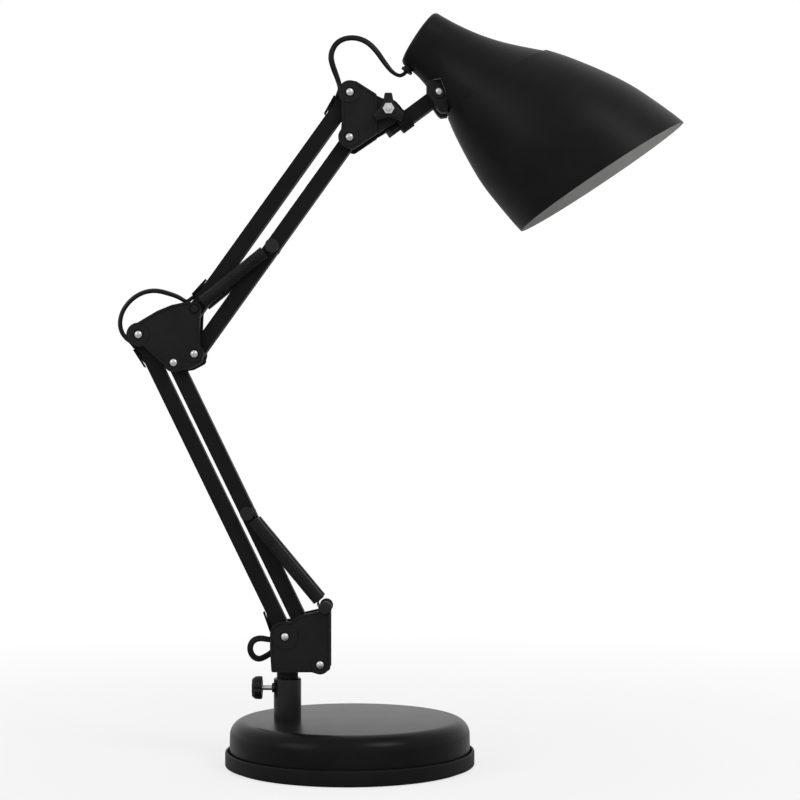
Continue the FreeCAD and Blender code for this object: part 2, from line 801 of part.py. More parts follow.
def spring(label, start, end, body_length, turns, side, holds):
    """An extension spring: a hook, the curls, a hook. Start and end are the pins,
    and holds are their radii, against which the hooks pull."""
    a = flat(start)
    b = flat(end)
    reach = (b - a).Length
    along = (b - a).normalize()
    across = Vec(0, 1, 0).cross(along)
    radius = num("coil_radius")
    hook = num("hook_radius")
    centre = num("coil_offset")
    first = (reach - body_length) / 2
    pitch = body_length / turns

    def at(s, c, y):
        return a + along * s + across * c + Vec(0, side * y, 0)

    def curl(angle):
        s = first + pitch * angle / (2 * math.pi)
        return at(s, radius * math.sin(angle), centre - radius * math.cos(angle))

    def way(angle):
        rise = pitch / (2 * math.pi)
        step = along * rise + across * (radius * math.cos(angle))
        step = step + Vec(0, side * radius * math.sin(angle), 0)
        return step.normalize()

    plane = centre - radius
    edges = []
    # lower hook: round the pin, a run, a quarter arc into the first curl
    root = math.sqrt(0.5)
    play = hook - num("wire") / 2 - 0.05
    low = play - holds[0]
    high = reach - (play - holds[1])
    edges.append(Part.Arc(at(low + hook * root, hook * root, plane), at(low - hook, 0, plane),
                          at(low, -hook, plane)).toShape())
    run_end = first - hook
    edges.append(Part.LineSegment(at(low, -hook, plane), at(run_end, -hook, plane)).toShape())
    entry = at(first, 0, plane)
    edges += biarc(at(run_end, -hook, plane), along, entry, way(0))
    steps = int(turns * 4)
    for k in range(steps):
        p = k * math.pi / 2
        q = (k + 1) * math.pi / 2
        edges += biarc(curl(p), way(p), curl(q), way(q))
    last = first + body_length
    out = at(last + hook, hook, plane)
    edges += biarc(curl(steps * math.pi / 2), way(0), out, along)
    edges.append(Part.LineSegment(out, at(high, hook, plane)).toShape())
    edges.append(Part.Arc(at(high, hook, plane), at(high + hook, 0, plane),
                          at(high - hook * root, -hook * root, plane)).toShape())
    path = Part.Wire(edges)
    begin = path.Edges[0].Vertexes[0].Point
    heading = path.Edges[0].tangentAt(path.Edges[0].FirstParameter)
    side_way = heading.cross(Vec(0, 1, 0)).normalize()
    up_way = heading.cross(side_way).normalize()
    wire_radius = num("wire") / 2
    corners = []
    for k in range(6):
        turn = math.radians(60 * k)
        offset = side_way * (wire_radius * math.cos(turn)) + up_way * (wire_radius * math.sin(turn))
        corners.append(begin + offset)
    profile = Part.makePolygon(corners + [corners[0]])
    solid = path.makePipeShell([profile], True, False)
    points = [path.Edges[0].Vertexes[0].Point]
    for edge in path.Edges:
        points += edge.discretize(6)[1:]
    gap = least_gap(points, num("wire"))
    print(label, "turns", turns, "valid", solid.isValid(), "least gap", round(gap, 2),
          "volume", round(solid.Volume, 1), "section x length",
          round(2.598 * wire_radius ** 2 * path.Length, 1))
    return solid


def least_gap(points, size):
    """The least clear distance between parts of one wire path."""
    run = [0.0]
    for p, q in zip(points, points[1:]):
        run.append(run[-1] + (q - p).Length)
    best = 1e9
    for i in range(0, len(points)):
        for j in range(i + 1, len(points)):
            if run[j] - run[i] > 6 * size:
                best = min(best, (points[j] - points[i]).Length - size)
    return best


# ---- cord


def flex(label, points, start_way=None, share=0.45, least=0.0):
    """A flat twin cord: straight runs joined by tangent arcs, in the picture plane."""
    radii = [0.0]
    for i in range(1, len(points) - 1):
        before = points[i] - points[i - 1]
        after = points[i + 1] - points[i]
        turn = before.getAngle(after)
        radii.append(share * min(before.Length, after.Length) / math.tan(turn / 2))
    radii.append(0.0)
    path = rounded(points, radii, False)
    heading = (points[1] - points[0]).normalize()
    normal = Vec(0, 1, 0)
    if abs(heading.dot(normal)) > 0.9:
        normal = Vec(1, 0, 0)
    wide = normal
    if abs(points[0].x - points[-1].x) < 0.001 and abs(points[0].y - points[-1].y) > 1:
        wide = Vec(1, 0, 0)
    thin = heading.cross(wide).normalize()
    x = num("cord_wide") / 2
    z = num("cord_thick") / 2
    cut = 0.9
    spots = [(x, z - cut), (x - cut, z), (cut - x, z), (-x, z - cut), (-x, cut - z), (cut - x, -z),
             (x - cut, -z), (x, cut - z)]
    corners = [points[0] + wide * a + thin * b for a, b in spots]
    profile = Part.makePolygon(corners + [corners[0]])
    solid = path.makePipeShell([profile], True, False)
    section = Part.Face(profile).Area
    print(label, "valid", solid.isValid(), "radii", [round(r, 1) for r in radii[1:-1]],
          "volume", round(solid.Volume, 1), "section x length", round(section * path.Length, 1))
    return solid if label.endswith("_part") else raw(label, solid)


def on_bar(start, end, along, out):
    """A point beside a bar: along from the start pivot, out to the left of it."""
    a = flat(start)
    run = (flat(end) - a).normalize()
    left = run.cross(Vec(0, 1, 0)) * -1
    left = Vec(-run.z, 0, run.x)
    return a + run * along + left * out


def dip(along):
    return num("tongue_rise") - num("tongue_thick") - 1.75 - 0.29 * (along - num("tongue_start"))


def bar_cord(label, start, end):
    reach = (flat(end) - flat(start)).Length
    begin = 9.5
    marks = [(begin, dip(begin)), (22.0, dip(22.0)), (34.0, 0.4), (80.0, 0.0)]
    count = max(2, int((reach - 160) / 55) + 1)
    points = [on_bar(start, end, s, out) for s, out in marks]
    points += [on_bar(start, end, reach - s, -0.0 + out) for s, out in reversed(marks)]
    points = [p for k, p in enumerate(points) if k != 4 or reach - 160 > 20]
    flex(label, points)


def cords(edge):
    thumb_x = num("stem_x")
    floor = 8.2
    rise = [Vec(thumb_x, edge - 9, floor), Vec(thumb_x, edge - 50, floor), Vec(thumb_x, 9, floor),
            Vec(thumb_x, 2.2, floor + 2.6), Vec(thumb_x, 0, floor + 9), Vec(thumb_x, 0, 30)]
    rise = [rise[0]] + rise[2:]
    inner = flex("cord_base_part", rise)
    stem = flex("cord_stem_part", [Vec(thumb_x, 0, 30), Vec(thumb_x, 0, 70)])
    raw("cord_base", Part.makeCompound([inner, stem]))
    lower = [(-50.0, 70.0), (-50.0, 80.0), (-53.2, 88.2), (-60.4, 92.0), (-66.6, 87.4), (-73.4, 84.4),
             (-78.6, 87.8), (-80.4, 94.0), (-78.0, 99.8), (-71.8, 102.0)]
    ends = [on_bar(MAST_L, ELBOW_L, 0.6, 11.4), on_bar(MAST_L, ELBOW_L, 5.0, dip(5.0)),
            on_bar(MAST_L, ELBOW_L, 9.5, dip(9.5))]
    flex("cord_lower_loop", [Vec(x, 0, z) for x, z in lower] + ends)
    bar_cord("cord_lower_bar", MAST_L, ELBOW_L)
    reach = (flat(ELBOW_L) - flat(MAST_L)).Length
    turn = [on_bar(MAST_L, ELBOW_L, reach - 9.5, dip(9.5)), on_bar(MAST_L, ELBOW_L, reach - 5.0, dip(5.0)),
            on_bar(MAST_L, ELBOW_L, reach, 9.8)]
    loop = [(-178.8, 341.0), (-182.9, 346.6), (-184.3, 353.4), (-183.0, 361.0), (-179.0, 368.2),
            (-172.6, 374.6), (-164.0, 379.0), (-154.4, 379.9), (-145.0, 377.4), (-137.0, 374.6)]
    back = [on_bar(ELBOW_T, TOP_L, 0.4, 10.2), on_bar(ELBOW_T, TOP_L, 5.0, dip(5.0)),
            on_bar(ELBOW_T, TOP_L, 9.5, dip(9.5))]
    flex("cord_elbow_loop", turn + [Vec(x, 0, z) for x, z in loop] + back)
    bar_cord("cord_upper_bar", ELBOW_T, TOP_L)
    reach = (flat(TOP_L) - flat(ELBOW_T)).Length
    turn = [on_bar(ELBOW_T, TOP_L, reach - 9.5, dip(9.5)), on_bar(ELBOW_T, TOP_L, reach - 5.0, dip(5.0)),
            on_bar(ELBOW_T, TOP_L, reach, 9.9)]
    loop = [(-9.8, 549.0), (-13.6, 558.6), (-15.8, 567.6), (-12.3, 576.7), (-5.0, 581.6),
            (5.0, 582.3), (14.2, 578.6), (21.4, 571.4), (27.6, 562.0), (34.6, 553.4)]
    entry = [GLAND_OUT - GLAND_WAY * 5.0, GLAND_OUT + GLAND_WAY * 2.0]
    flex("cord_head_loop", turn + [Vec(x, 0, z) for x, z in loop] + entry)
    inside = [GLAND_OUT + GLAND_WAY * 2.0, GLAND_OUT + GLAND_WAY * 8.6, holder_at(-30.6, -9.6),
              holder_at(-6.0, -9.4)]
    flex("cord_in_shade", inside)


# ---- head


def arm_axis(back, lift=0.0):
    run = Vec(0.804, 0, 0.595).normalize()
    left = Vec(-run.z, 0, run.x)
    return flat(TILT) - run * back + left * lift


ARM = Vec(0.804, 0, 0.595).normalize()


def head():
    knob = new_body("head_knob")
    sketch = new_sketch(knob, "XZ_Plane")
    circles(sketch, [(0, 0, 6.2)])
    length = D["knob_back"] - D["hub_inner"] - D["hub_thick"]
    pad(knob, sketch, length)
    for k, angle in enumerate((85, 205, 325)):
        turn = math.radians(angle)
        lobe = new_sketch(knob, "XZ_Plane")
        tip = Vec(math.cos(turn), math.sin(turn), 0)
        wide = Vec(-tip.y, tip.x, 0)
        r = num("lobe_radius")
        far = tip * num("lobe_reach")
        near = tip * 3.0
        edges = [Part.LineSegment(near - wide * r, far - wide * r).toShape(),
                 Part.Arc(far - wide * r, far + tip * r, far + wide * r).toShape(),
                 Part.LineSegment(far + wide * r, near + wide * r).toShape(),
                 Part.LineSegment(near + wide * r, near - wide * r).toShape()]
        curved(lobe, Part.Wire(edges))
        lift = FACE + 0.3 - D["hub_inner"] - D["hub_thick"]
        lobe.setExpression("AttachmentOffset.Base.z", lift.text)
        pad(knob, lobe, length - lift)
    bore = new_sketch(knob, "XZ_Plane")
    circles(bore, [(0, 0, D["bolt_radius"])])
    pocket(knob, bore)
    start = -(D["hub_inner"] + D["hub_thick"])
    knob.Placement = FreeCAD.Placement(Vec(float(KNOB[0]), float(start), float(KNOB[1])), Turn())
    for axis, value in (("x", KNOB[0]), ("y", start), ("z", KNOB[1])):
        knob.setExpression("Placement.Base." + axis, value.text)
    node("head_knob", knob)
    face = D["hub_inner"] + D["hub_thick"]
    shank = rod("bolt_shank", D["bolt_radius"], D["knob_back"] + face + 5, KNOB[0], -D["knob_back"], KNOB[1])
    cap = hexagon("bolt_head", 4.6, 3.5, KNOB[0], -(D["knob_back"] + 3.5), KNOB[1])
    node("head_bolt", join("head_bolt_whole", [shank, cap]))
    nut = hexagon("head_nut_hex", 4.6, 4.0, KNOB[0], face, KNOB[1])
    hole = rod("head_nut_hole", D["bolt_radius"] + D["running_gap"], 4.0, KNOB[0], face, KNOB[1])
    node("head_nut", less("head_nut_cut", nut, [hole]))

    eye = rod("swivel_eye", D["eye_radius"], D["eye_half"] * 2, KNOB[0], -D["eye_half"], KNOB[1])
    barrel = doc.addObject("Part::Cylinder", "swivel_barrel")
    bind(barrel, "Radius", D["barrel_radius"])
    bind(barrel, "Height", D["barrel_start"] - D["barrel_end"])
    barrel.Placement = FreeCAD.Placement(arm_axis(num("barrel_start")), Turn(Vec(0, 0, 1), ARM))
    web = doc.addObject("Part::Box", "swivel_web")
    web.Length = 10.0
    web.Width = 12.0
    web.Height = 12.0
    turn = Turn(Vec(1, 0, 0), ARM)
    web.Placement = FreeCAD.Placement(arm_axis(num("barrel_start")) + Vec(0, -6, 0), turn)
    bore = doc.addObject("Part::Cylinder", "swivel_bore")
    bind(bore, "Radius", D["spigot_radius"] + D["running_gap"])
    bore.Height = 40
    bore.Placement = FreeCAD.Placement(arm_axis(num("barrel_start") + 15), Turn(Vec(0, 0, 1), ARM))
    hole = rod("swivel_hole", D["bolt_radius"] + D["running_gap"], 30, KNOB[0], -15, KNOB[1])
    whole = join("swivel_whole", [eye, barrel, web])
    node("swivel_block", less("swivel_cut", whole, [bore, hole]))

    half = num("arm_size") / 2
    start = num("barrel_end") - 0.15
    side = [Vec(-start, -half, 0), Vec(0, -half, 0), Vec(0, half, 0), Vec(-start, half, 0)]
    body = new_body("head_arm")
    sketch = new_sketch(body, "XZ_Plane")
    edges = [Part.LineSegment(side[0], side[1]).toShape(),
             Part.Arc(side[1], Vec(half, 0, 0), side[2]).toShape(),
             Part.LineSegment(side[2], side[3]).toShape(),
             Part.LineSegment(side[3], side[0]).toShape()]
    curved(sketch, Part.Wire(edges))
    pad(body, sketch, D["arm_size"], True)
    hole = new_sketch(body, "XZ_Plane")
    circles(hole, [(0, 0, D["screw_radius"] + D["running_gap"])])
    pocket(body, hole)
    spigot = new_sketch(body, "YZ_Plane")
    circles(spigot, [(0, 0, D["spigot_radius"])])
    spigot.AttachmentOffset = FreeCAD.Placement(Vec(0, 0, -num("barrel_start") - 8), Turn())
    pad(body, spigot, D["barrel_start"] - D["barrel_end"] + 9)
    body.Placement = FreeCAD.Placement(flat(TILT), Turn(Vec(1, 0, 0), ARM))
    node("head_arm", body)
    nut = doc.addObject("Part::Prism", "arm_nut_hex")
    nut.Polygon = 6
    bind(nut, "Circumradius", D["arm_nut_radius"])
    bind(nut, "Height", D["arm_nut_length"])
    back = num("barrel_start") + 0.15 + num("arm_nut_length")
    nut.Placement = FreeCAD.Placement(arm_axis(back), Turn(Vec(0, 0, 1), ARM))
    bore = doc.addObject("Part::Cylinder", "arm_nut_bore")
    bind(bore, "Radius", D["spigot_radius"])
    bore.Height = 8
    bore.Placement = FreeCAD.Placement(arm_axis(num("barrel_start") + 8), Turn(Vec(0, 0, 1), ARM))
    node("head_arm_nut", less("arm_nut_cut", nut, [bore]))


# ---- shade

TILT_DOWN = math.radians(num("holder_tilt"))
HOLDER = Vec(math.cos(TILT_DOWN), 0, -math.sin(TILT_DOWN))
HOLDER_UP = Vec(math.sin(TILT_DOWN), 0, math.cos(TILT_DOWN))
HOLDER_AT = Vec(num("holder_x"), 0, num("holder_z"))
GLAND_WAY = Vec(0.55, 0, 0.83).normalize()
GLAND_OUT = Vec(45.0, 0, 554.9)


def holder_at(along, up=0.0):
    return HOLDER_AT + HOLDER * along + HOLDER_UP * up


def hoop(x, z, tilt, radius):
    angle = math.radians(tilt)
    return Part.Wire([Part.makeCircle(radius, Vec(x, 0, z), Vec(math.cos(angle), 0, -math.sin(angle)))])


def shell(stations, wall):
    outer = Part.makeLoft([hoop(x, z, t, r) for x, z, t, r in stations], True, True)
    inner = Part.makeLoft([hoop(x, z, t, r - wall) for x, z, t, r in stations], True, True)
    return outer, inner


def bell_station(depth, radius, shift):
    angle = math.radians(num("mouth_tilt"))
    x = num("mouth_x") - math.cos(angle) * depth + math.sin(angle) * shift
    z = num("mouth_z") + math.sin(angle) * depth + math.cos(angle) * shift
    return (x, z, num("mouth_tilt"), radius)


def disc(station, radius, thick, back=0.0):
    x, z, tilt, r = station
    angle = math.radians(tilt)
    way = Vec(math.cos(angle), 0, -math.sin(angle))
    return Part.makeCylinder(radius, thick, Vec(x, 0, z) + way * back, way)


def shade():
    wall = num("shade_wall")
    seam = num("seam_depth")
    rows = [(0.0, 77.0, 0.0), (10.0, 76.3, -2.4), (35.0, 72.9, -8.7), (50.0, 69.9, -12.6),
            (65.0, 65.4, -16.6), (80.0, 60.0, -20.8), (95.0, 53.9, -25.15), (seam, 48.0, -28.9)]
    bell = [bell_station(*row) for row in rows]
    outer, inner = shell(bell, wall)
    collar = disc(bell[-1], 47.9, 1.2)
    opening = disc(bell[-1], 43.0, 4.0, -1.0)
    raw("shade_bell", outer.cut(inner.cut(collar)).cut(opening))

    x, z, tilt, r = bell[-1]
    neck = [(x, z, tilt, 46.6), (106.0, 549.5, 53.0, 40.3), (96.2, 554.4, 49.0, 35.2),
            (86.8, 560.1, 45.0, 31.0), (78.0, 566.2, 41.5, 27.8), (69.3, 572.3, 38.0, 25.6),
            (61.1, 577.7, 34.6, 24.6), (57.0, 580.5, 34.6, 24.3)]
    back = (54.2, 582.4, 34.6, 21.8)
    outer, inner = shell(neck, wall)
    outer = Part.makeLoft([hoop(*row) for row in neck + [back]], True, True)
    lip = disc(neck[0], 46.6, 1.2, -1.2)
    hole = disc(neck[0], 43.0, 4.0, -2.0)
    whole = outer.cut(inner.cut(lip)).cut(hole)
    lug_hole = lug_shape(0.05)
    gland_hole = Part.makeCylinder(num("gland_radius"), 9, GLAND_OUT, GLAND_WAY)
    heads = Part.makeCylinder(3.3, 40, flat(TILT) - Vec(0, 20, 0), Vec(0, 1, 0))
    clear = arm_room(num("slot_half"))
    raw("shade_neck", whole.cut(lug_hole).cut(gland_hole).cut(heads).cut(clear))

    lug = lug_shape(0.0)
    half = num("slot_half")
    slot = Part.makeBox(40, half * 2, 40, Vec(-20, -half, -20))
    arm = Part.makeCylinder(num("arm_size") / 2 + 0.6, half * 2, flat(TILT) - Vec(0, half, 0), Vec(0, 1, 0))
    run = arm_room(half)
    screw = Part.makeCylinder(num("screw_radius"), 40, flat(TILT) - Vec(0, 20, 0), Vec(0, 1, 0))
    lug = lug.cut(arm).cut(run).cut(screw)
    for way in (-1, 1):
        base = flat(TILT) + Vec(0, way * (num("lug_half") - 1.2), 0)
        lug = lug.cut(Part.makeCylinder(3.3, 5, base, Vec(0, way, 0)))
    raw("shade_lug", lug)
    seat = num("lug_half") - 1.2
    shank = rod("lug_shank", D["screw_radius"], seat * 2 + 2.0, TILT[0], -seat, TILT[1])
    cap = rod("lug_head", 2.75, 1.6, TILT[0], -(seat + 1.6), TILT[1])
    screw = join("lug_screw_whole", [shank, cap])
    nut = hexagon("lug_nut_hex", 3.2, 2.0, TILT[0], seat, TILT[1])
    hole = rod("lug_nut_hole", D["screw_radius"], 2.0, TILT[0], seat, TILT[1])
    group("lug_screw", [screw, less("lug_nut_cut", nut, [hole])])


def arm_room(half):
    """The space that the arm sweeps as the shade tilts."""
    high = num("arm_size") / 2 + 3.2
    room = Part.makeBox(40, half * 2, high * 2, Vec(-40, -half, -high))
    room.Placement = FreeCAD.Placement(flat(TILT), Turn(Vec(1, 0, 0), ARM))
    return room


def lug_shape(grow):
    a = Vec(63.6, 0, 543.0)
    b = Vec(75.2, 0, 525.0)
    inward = Vec(0.79, 0, 0.613)
    low = Vec(-3.2, 0, -2.5)
    deep = num("lug_deep")
    corners = [a + low * 0.3, b + low * 0.6, b + inward * deep, a + inward * deep]
    half = num("lug_half") + grow
    face = Part.Face(Part.makePolygon([c - Vec(0, half, 0) for c in corners + [corners[0]]]))
    return face.extrude(Vec(0, half * 2, 0))


def holder():
    def tube(label, rows):
        body = turned(label, rows)
        body.Placement = FreeCAD.Placement(HOLDER_AT, Turn(Vec(0, 0, 1), HOLDER))
        return body

    r = D["holder_radius"]
    bore = D["holder_bore"]
    end = D["holder_length"]
    nip = D["nipple_radius"]
    shellbody = tube("lampholder", [(nip, -6), (12.5, -6), (14.5, -3), (15.5, 6), (r, 7), (r, end - 1),
                                    (r - 1, end), (bore, end), (bore, 14), (nip, 14)])
    cord_hole = doc.addObject("Part::Cylinder", "holder_cord_hole")
    cord_hole.Radius = 2.7
    cord_hole.Height = 24
    cord_hole.Placement = FreeCAD.Placement(holder_at(-8, -9.4), Turn(Vec(0, 0, 1), HOLDER))
    node("lampholder", less("lampholder_cut", shellbody, [cord_hole]))
    thread = tube("lampholder_thread", [(D["socket_radius"], 18), (bore, 18), (bore, end - 3),
                                        (D["socket_radius"], end - 3)])
    contact = tube("lampholder_middle", [(0, 14), (3.5, 14), (3.5, 15), (2.0, 17.5), (0, 17.5)])
    group("lampholder_contacts", [thread, contact])
    node("lampholder_nipple", tube("lampholder_nipple", [(3.0, -34.6), (nip, -34.6), (nip, 14),
                                                         (3.0, 14)]))
    stem = Part.makeCylinder(num("gland_radius"), 8.5, GLAND_OUT, GLAND_WAY)
    flange = Part.makeCylinder(num("gland_flange"), 1.8, GLAND_OUT, GLAND_WAY)
    bore = Part.makeCylinder(2.65, 20, GLAND_OUT - GLAND_WAY * 2, GLAND_WAY)
    raw("cord_gland", stem.fuse(flange).cut(bore).removeSplitter())


def build():
    spots, floor, cover, under, edge = base()
    base_rest(spots, floor, cover, under, edge)
    thumb()
    mast()
    mast_corners = [(-63.0, 116.2, 9.5), (-46.5, 116.0, 3.0), (-41.5, 120.6, 2.5), (-24.0, 124.6, 1.0),
                    (-22.2, 130.2, 2.5), (-15.4, 130.2, 2.5), (-15.4, 78.0, 2.0), (-20.6, 75.4, 1.5),
                    (-25.0, 74.4, 2.0), (-30.0, 75.9, 2.0), (-62.0, 75.9, 1.5), (-63.2, 95.4, 3.0)]
    holes = [(MAST_L[0], MAST_L[1], D["screw_radius"]), (MAST_R[0], MAST_R[1], D["screw_radius"]),
             (STUD[0], STUD[1], D["pin_radius"])]
    body = plate("lower", mast_corners, [(MAST_L[0], MAST_L[1], 11.0), (MAST_R[0], MAST_R[1], 7.8)],
                 holes, [MAST_L, MAST_R])
    both_plates("lower", body)
    fixings("lower", [MAST_L, MAST_R], [MAST_L + (None,), MAST_R + (None,)])
    studs()
    bar("lower_bar_left", MAST_L, ELBOW_L, True)
    bar("lower_bar_right", MAST_R, ELBOW_R, False, True)
    cross_pin("lower_spring_pin", LOWER_MID)
    elbow_corners = [(-173.5, 350.0, 3.0), (-164.5, 355.6, 12.0), (-152.7, 362.6, 18.0),
                     (-141.5, 367.2, 18.0), (-128.0, 370.2, 3.0), (-118.2, 367.6, 3.0),
                     (-118.9, 350.5, 4.0), (-118.6, 337.0, 4.0), (-116.0, 322.0, 3.5),
                     (-126.3, 316.6, 2.0), (-131.5, 315.8, 2.0), (-139.7, 313.6, 3.0),
                     (-150.9, 323.0, 3.0), (-163.6, 335.0, 2.0)]
    ends = [ELBOW_L, ELBOW_R, ELBOW_T, ELBOW_B]
    body = plate("elbow", elbow_corners,
                 [(ELBOW_L[0], ELBOW_L[1], 9.5), (ELBOW_R[0], ELBOW_R[1], 7.7),
                  (ELBOW_T[0], ELBOW_T[1], 5.3), (ELBOW_B[0], ELBOW_B[1], 7.7)],
                 [(x, z, D["screw_radius"]) for x, z in ends], ends)
    both_plates("elbow", body)
    fixings("elbow", ends, [ELBOW_L + (None,), ELBOW_R + (None,), ELBOW_T + (0.9,), ELBOW_B + (None,)])
    bar("upper_bar_left", ELBOW_T, TOP_L, True)
    bar("upper_bar_right", ELBOW_B, TOP_R, False, True)
    cross_pin("upper_spring_pin", UPPER_MID)
    top_corners = [(-6.6, 544.0, 5.0), (5.0, 545.0, 4.0), (21.6, 534.4, 2.0), (21.6, 503.2, 2.0),
                   (2.4, 490.2, 4.0), (-7.4, 497.0, 4.0), (-6.2, 515.0, 8.0)]
    flap = [(15.5, 536.6, 1.0), (26.0, 531.6, 4.0), (38.4, 529.4, 6.0), (38.4, 513.6, 6.0),
            (26.0, 506.0, 4.0), (15.5, 500.0, 1.0)]
    body = plate("top", top_corners,
                 [(TOP_L[0], TOP_L[1], 9.3), (TOP_R[0], TOP_R[1], 9.0)],
                 [(TOP_L[0], TOP_L[1], D["screw_radius"]), (TOP_R[0], TOP_R[1], D["screw_radius"]),
                  (KNOB[0], KNOB[1], D["bolt_radius"] + D["running_gap"])], [TOP_L, TOP_R],
                 (flap, (KNOB[0], KNOB[1], D["hub_radius"])))
    both_plates("top", body)
    fixings("top", [TOP_L, TOP_R], [TOP_L + (None,), TOP_R + (None,)])
    head()
    shade()
    holder()
    cords(edge)
    pin = num("pin_radius")
    for stem, start, end, held in (("lower", STUD, LOWER_MID, pin),
                                   ("upper", ELBOW_T, UPPER_MID, num("sleeve_radius"))):
        pair = []
        for side in (-1, 1):
            pair.append(spring(stem + "_spring", start, end, num(stem + "_body"),
                               num(stem + "_turns"), side, (held, pin)))
        raw(stem + "_springs", Part.makeCompound(pair))


def check_and_write():
    doc.recompute()
    bad = [o.Name for o in doc.Objects if "Invalid" in o.State or "Error" in o.State]
    if bad:
        raise RuntimeError("failed objects: " + ", ".join(bad))

    for label, item in NODES.items():
        shape = item.Shape
        if shape.isNull() or not shape.isValid() or not shape.Solids:
            raise RuntimeError("bad shape: " + label)
        shape.exportStep("parts/%s.step" % label)
    print(len(NODES), "nodes written")


build()
check_and_write()
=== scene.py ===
import json
import math
import bpy
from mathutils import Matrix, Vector


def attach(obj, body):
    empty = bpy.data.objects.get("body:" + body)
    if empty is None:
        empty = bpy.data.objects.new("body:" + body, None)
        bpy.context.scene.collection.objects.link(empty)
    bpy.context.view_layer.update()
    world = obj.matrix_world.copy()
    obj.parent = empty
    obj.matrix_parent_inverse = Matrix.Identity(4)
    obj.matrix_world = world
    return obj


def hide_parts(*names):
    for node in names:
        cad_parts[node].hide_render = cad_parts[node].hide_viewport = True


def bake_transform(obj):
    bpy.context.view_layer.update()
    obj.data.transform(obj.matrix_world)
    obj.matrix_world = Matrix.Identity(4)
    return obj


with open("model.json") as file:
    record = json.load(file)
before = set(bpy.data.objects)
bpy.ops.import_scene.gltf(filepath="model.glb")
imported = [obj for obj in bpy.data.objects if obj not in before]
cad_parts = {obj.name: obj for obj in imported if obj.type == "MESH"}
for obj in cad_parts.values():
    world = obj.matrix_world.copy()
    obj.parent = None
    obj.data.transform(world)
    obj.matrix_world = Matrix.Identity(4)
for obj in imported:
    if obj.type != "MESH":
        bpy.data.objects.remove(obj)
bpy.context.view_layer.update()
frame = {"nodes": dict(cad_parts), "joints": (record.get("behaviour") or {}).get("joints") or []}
MM = 0.001

# ---------------------------------------------------------------- camera

cam_data = bpy.data.cameras.new("camera")
cam_data.lens = 82.5
cam_data.sensor_width = 36.0
cam_data.shift_y = 0.0525
cam_data.clip_end = 60
cam = bpy.data.objects.new("camera", cam_data)
cam.location = (0.040, -1.467, 0.2586)
cam.rotation_euler = (math.radians(90), 0, 0)
bpy.context.scene.collection.objects.link(cam)
bpy.context.scene.camera = cam

# ---------------------------------------------------------------- materials

PATCH_SCALE = 35.0
RAMP_START = 0.35
RAMP_END = 0.65
BUMP_DISTANCE = 0.0002


class Nodes:
    """A small helper that builds one node material."""

    def __init__(self, name):
        self.mat = bpy.data.materials.new(name)
        self.mat.use_nodes = True
        self.tree = self.mat.node_tree
        self.shader = self.tree.nodes["Principled BSDF"]

    def add(self, kind, **values):
        node = self.tree.nodes.new(kind)
        for key, value in values.items():
            setattr(node, key, value)
        return node

    def link(self, a, b):
        self.tree.links.new(a, b)

    def noise(self, coord, scale, rough):
        node = self.add("ShaderNodeTexNoise")
        node.inputs["Scale"].default_value = scale
        node.inputs["Detail"].default_value = 3.0
        node.inputs["Roughness"].default_value = rough
        self.link(coord.outputs["Object"], node.inputs["Vector"])
        return node.outputs["Fac"]

    def ramp(self, source, low, high):
        node = self.add("ShaderNodeValToRGB")
        ends = node.color_ramp.elements
        ends[0].position = RAMP_START
        ends[1].position = RAMP_END
        ends[0].color = (*low, 1)
        ends[1].color = (*high, 1)
        self.link(source, node.inputs["Fac"])
        return node.outputs["Color"]

    def spread(self, source, low, high):
        node = self.add("ShaderNodeMapRange")
        node.inputs["To Min"].default_value = low
        node.inputs["To Max"].default_value = high
        self.link(source, node.inputs["Value"])
        return node.outputs["Result"]

    def bump(self, source, strength):
        node = self.add("ShaderNodeBump")
        node.inputs["Strength"].default_value = strength
        node.inputs["Distance"].default_value = BUMP_DISTANCE
        self.link(source, node.inputs["Height"])
        self.link(node.outputs["Normal"], self.shader.inputs["Normal"])


def surface(name, low, high, rough, bump, grain=900.0, metal=0.0, spec=0.5):
    """A material whose colour and roughness drift in broad patches, with a fine grain as its bump."""
    n = Nodes(name)
    coord = n.add("ShaderNodeTexCoord")
    fine = n.noise(coord, grain, rough=0.6)
    broad = n.noise(coord, PATCH_SCALE, rough=0.55)
    n.link(n.ramp(broad, low, high), n.shader.inputs["Base Color"])
    n.link(n.spread(broad, rough[0], rough[1]), n.shader.inputs["Roughness"])
    n.shader.inputs["Metallic"].default_value = metal
    n.shader.inputs["Specular IOR Level"].default_value = spec
    n.bump(fine, bump)
    return n.mat


PAINT = surface("black_paint", (0.004, 0.004, 0.0045), (0.0065, 0.0065, 0.007), (0.48, 0.56), bump=0.06,
                spec=0.09)
SHADE_OUT = surface("shade_paint", (0.005, 0.005, 0.0055), (0.0075, 0.0075, 0.008), (0.40, 0.46),
                    bump=0.05, grain=1400, spec=0.08)
SHADE_IN = surface("shade_inside", (0.40, 0.40, 0.39), (0.46, 0.46, 0.45), (0.55, 0.65), bump=0.05,
                   grain=700)
MOULDED = surface("moulded_black", (0.006, 0.006, 0.0065), (0.010, 0.010, 0.0105), (0.42, 0.52),
                  bump=0.25, grain=1800, spec=0.12)
GLOSSY = surface("gloss_black", (0.004, 0.004, 0.0045), (0.006, 0.006, 0.0065), (0.24, 0.30), bump=0.03,
                 grain=500, spec=0.26)
COVER = surface("base_gloss", (0.004, 0.004, 0.0045), (0.006, 0.006, 0.0065), (0.28, 0.33), bump=0.02,
                grain=500, spec=0.08)
ZINC = surface("zinc_steel", (0.40, 0.41, 0.42), (0.52, 0.53, 0.54), (0.26, 0.38), bump=0.08, grain=2500,
               metal=1.0)
SPRING = surface("spring_black", (0.006, 0.006, 0.0065), (0.012, 0.012, 0.0125), (0.36, 0.46), bump=0.05,
                 grain=1500, spec=0.16)
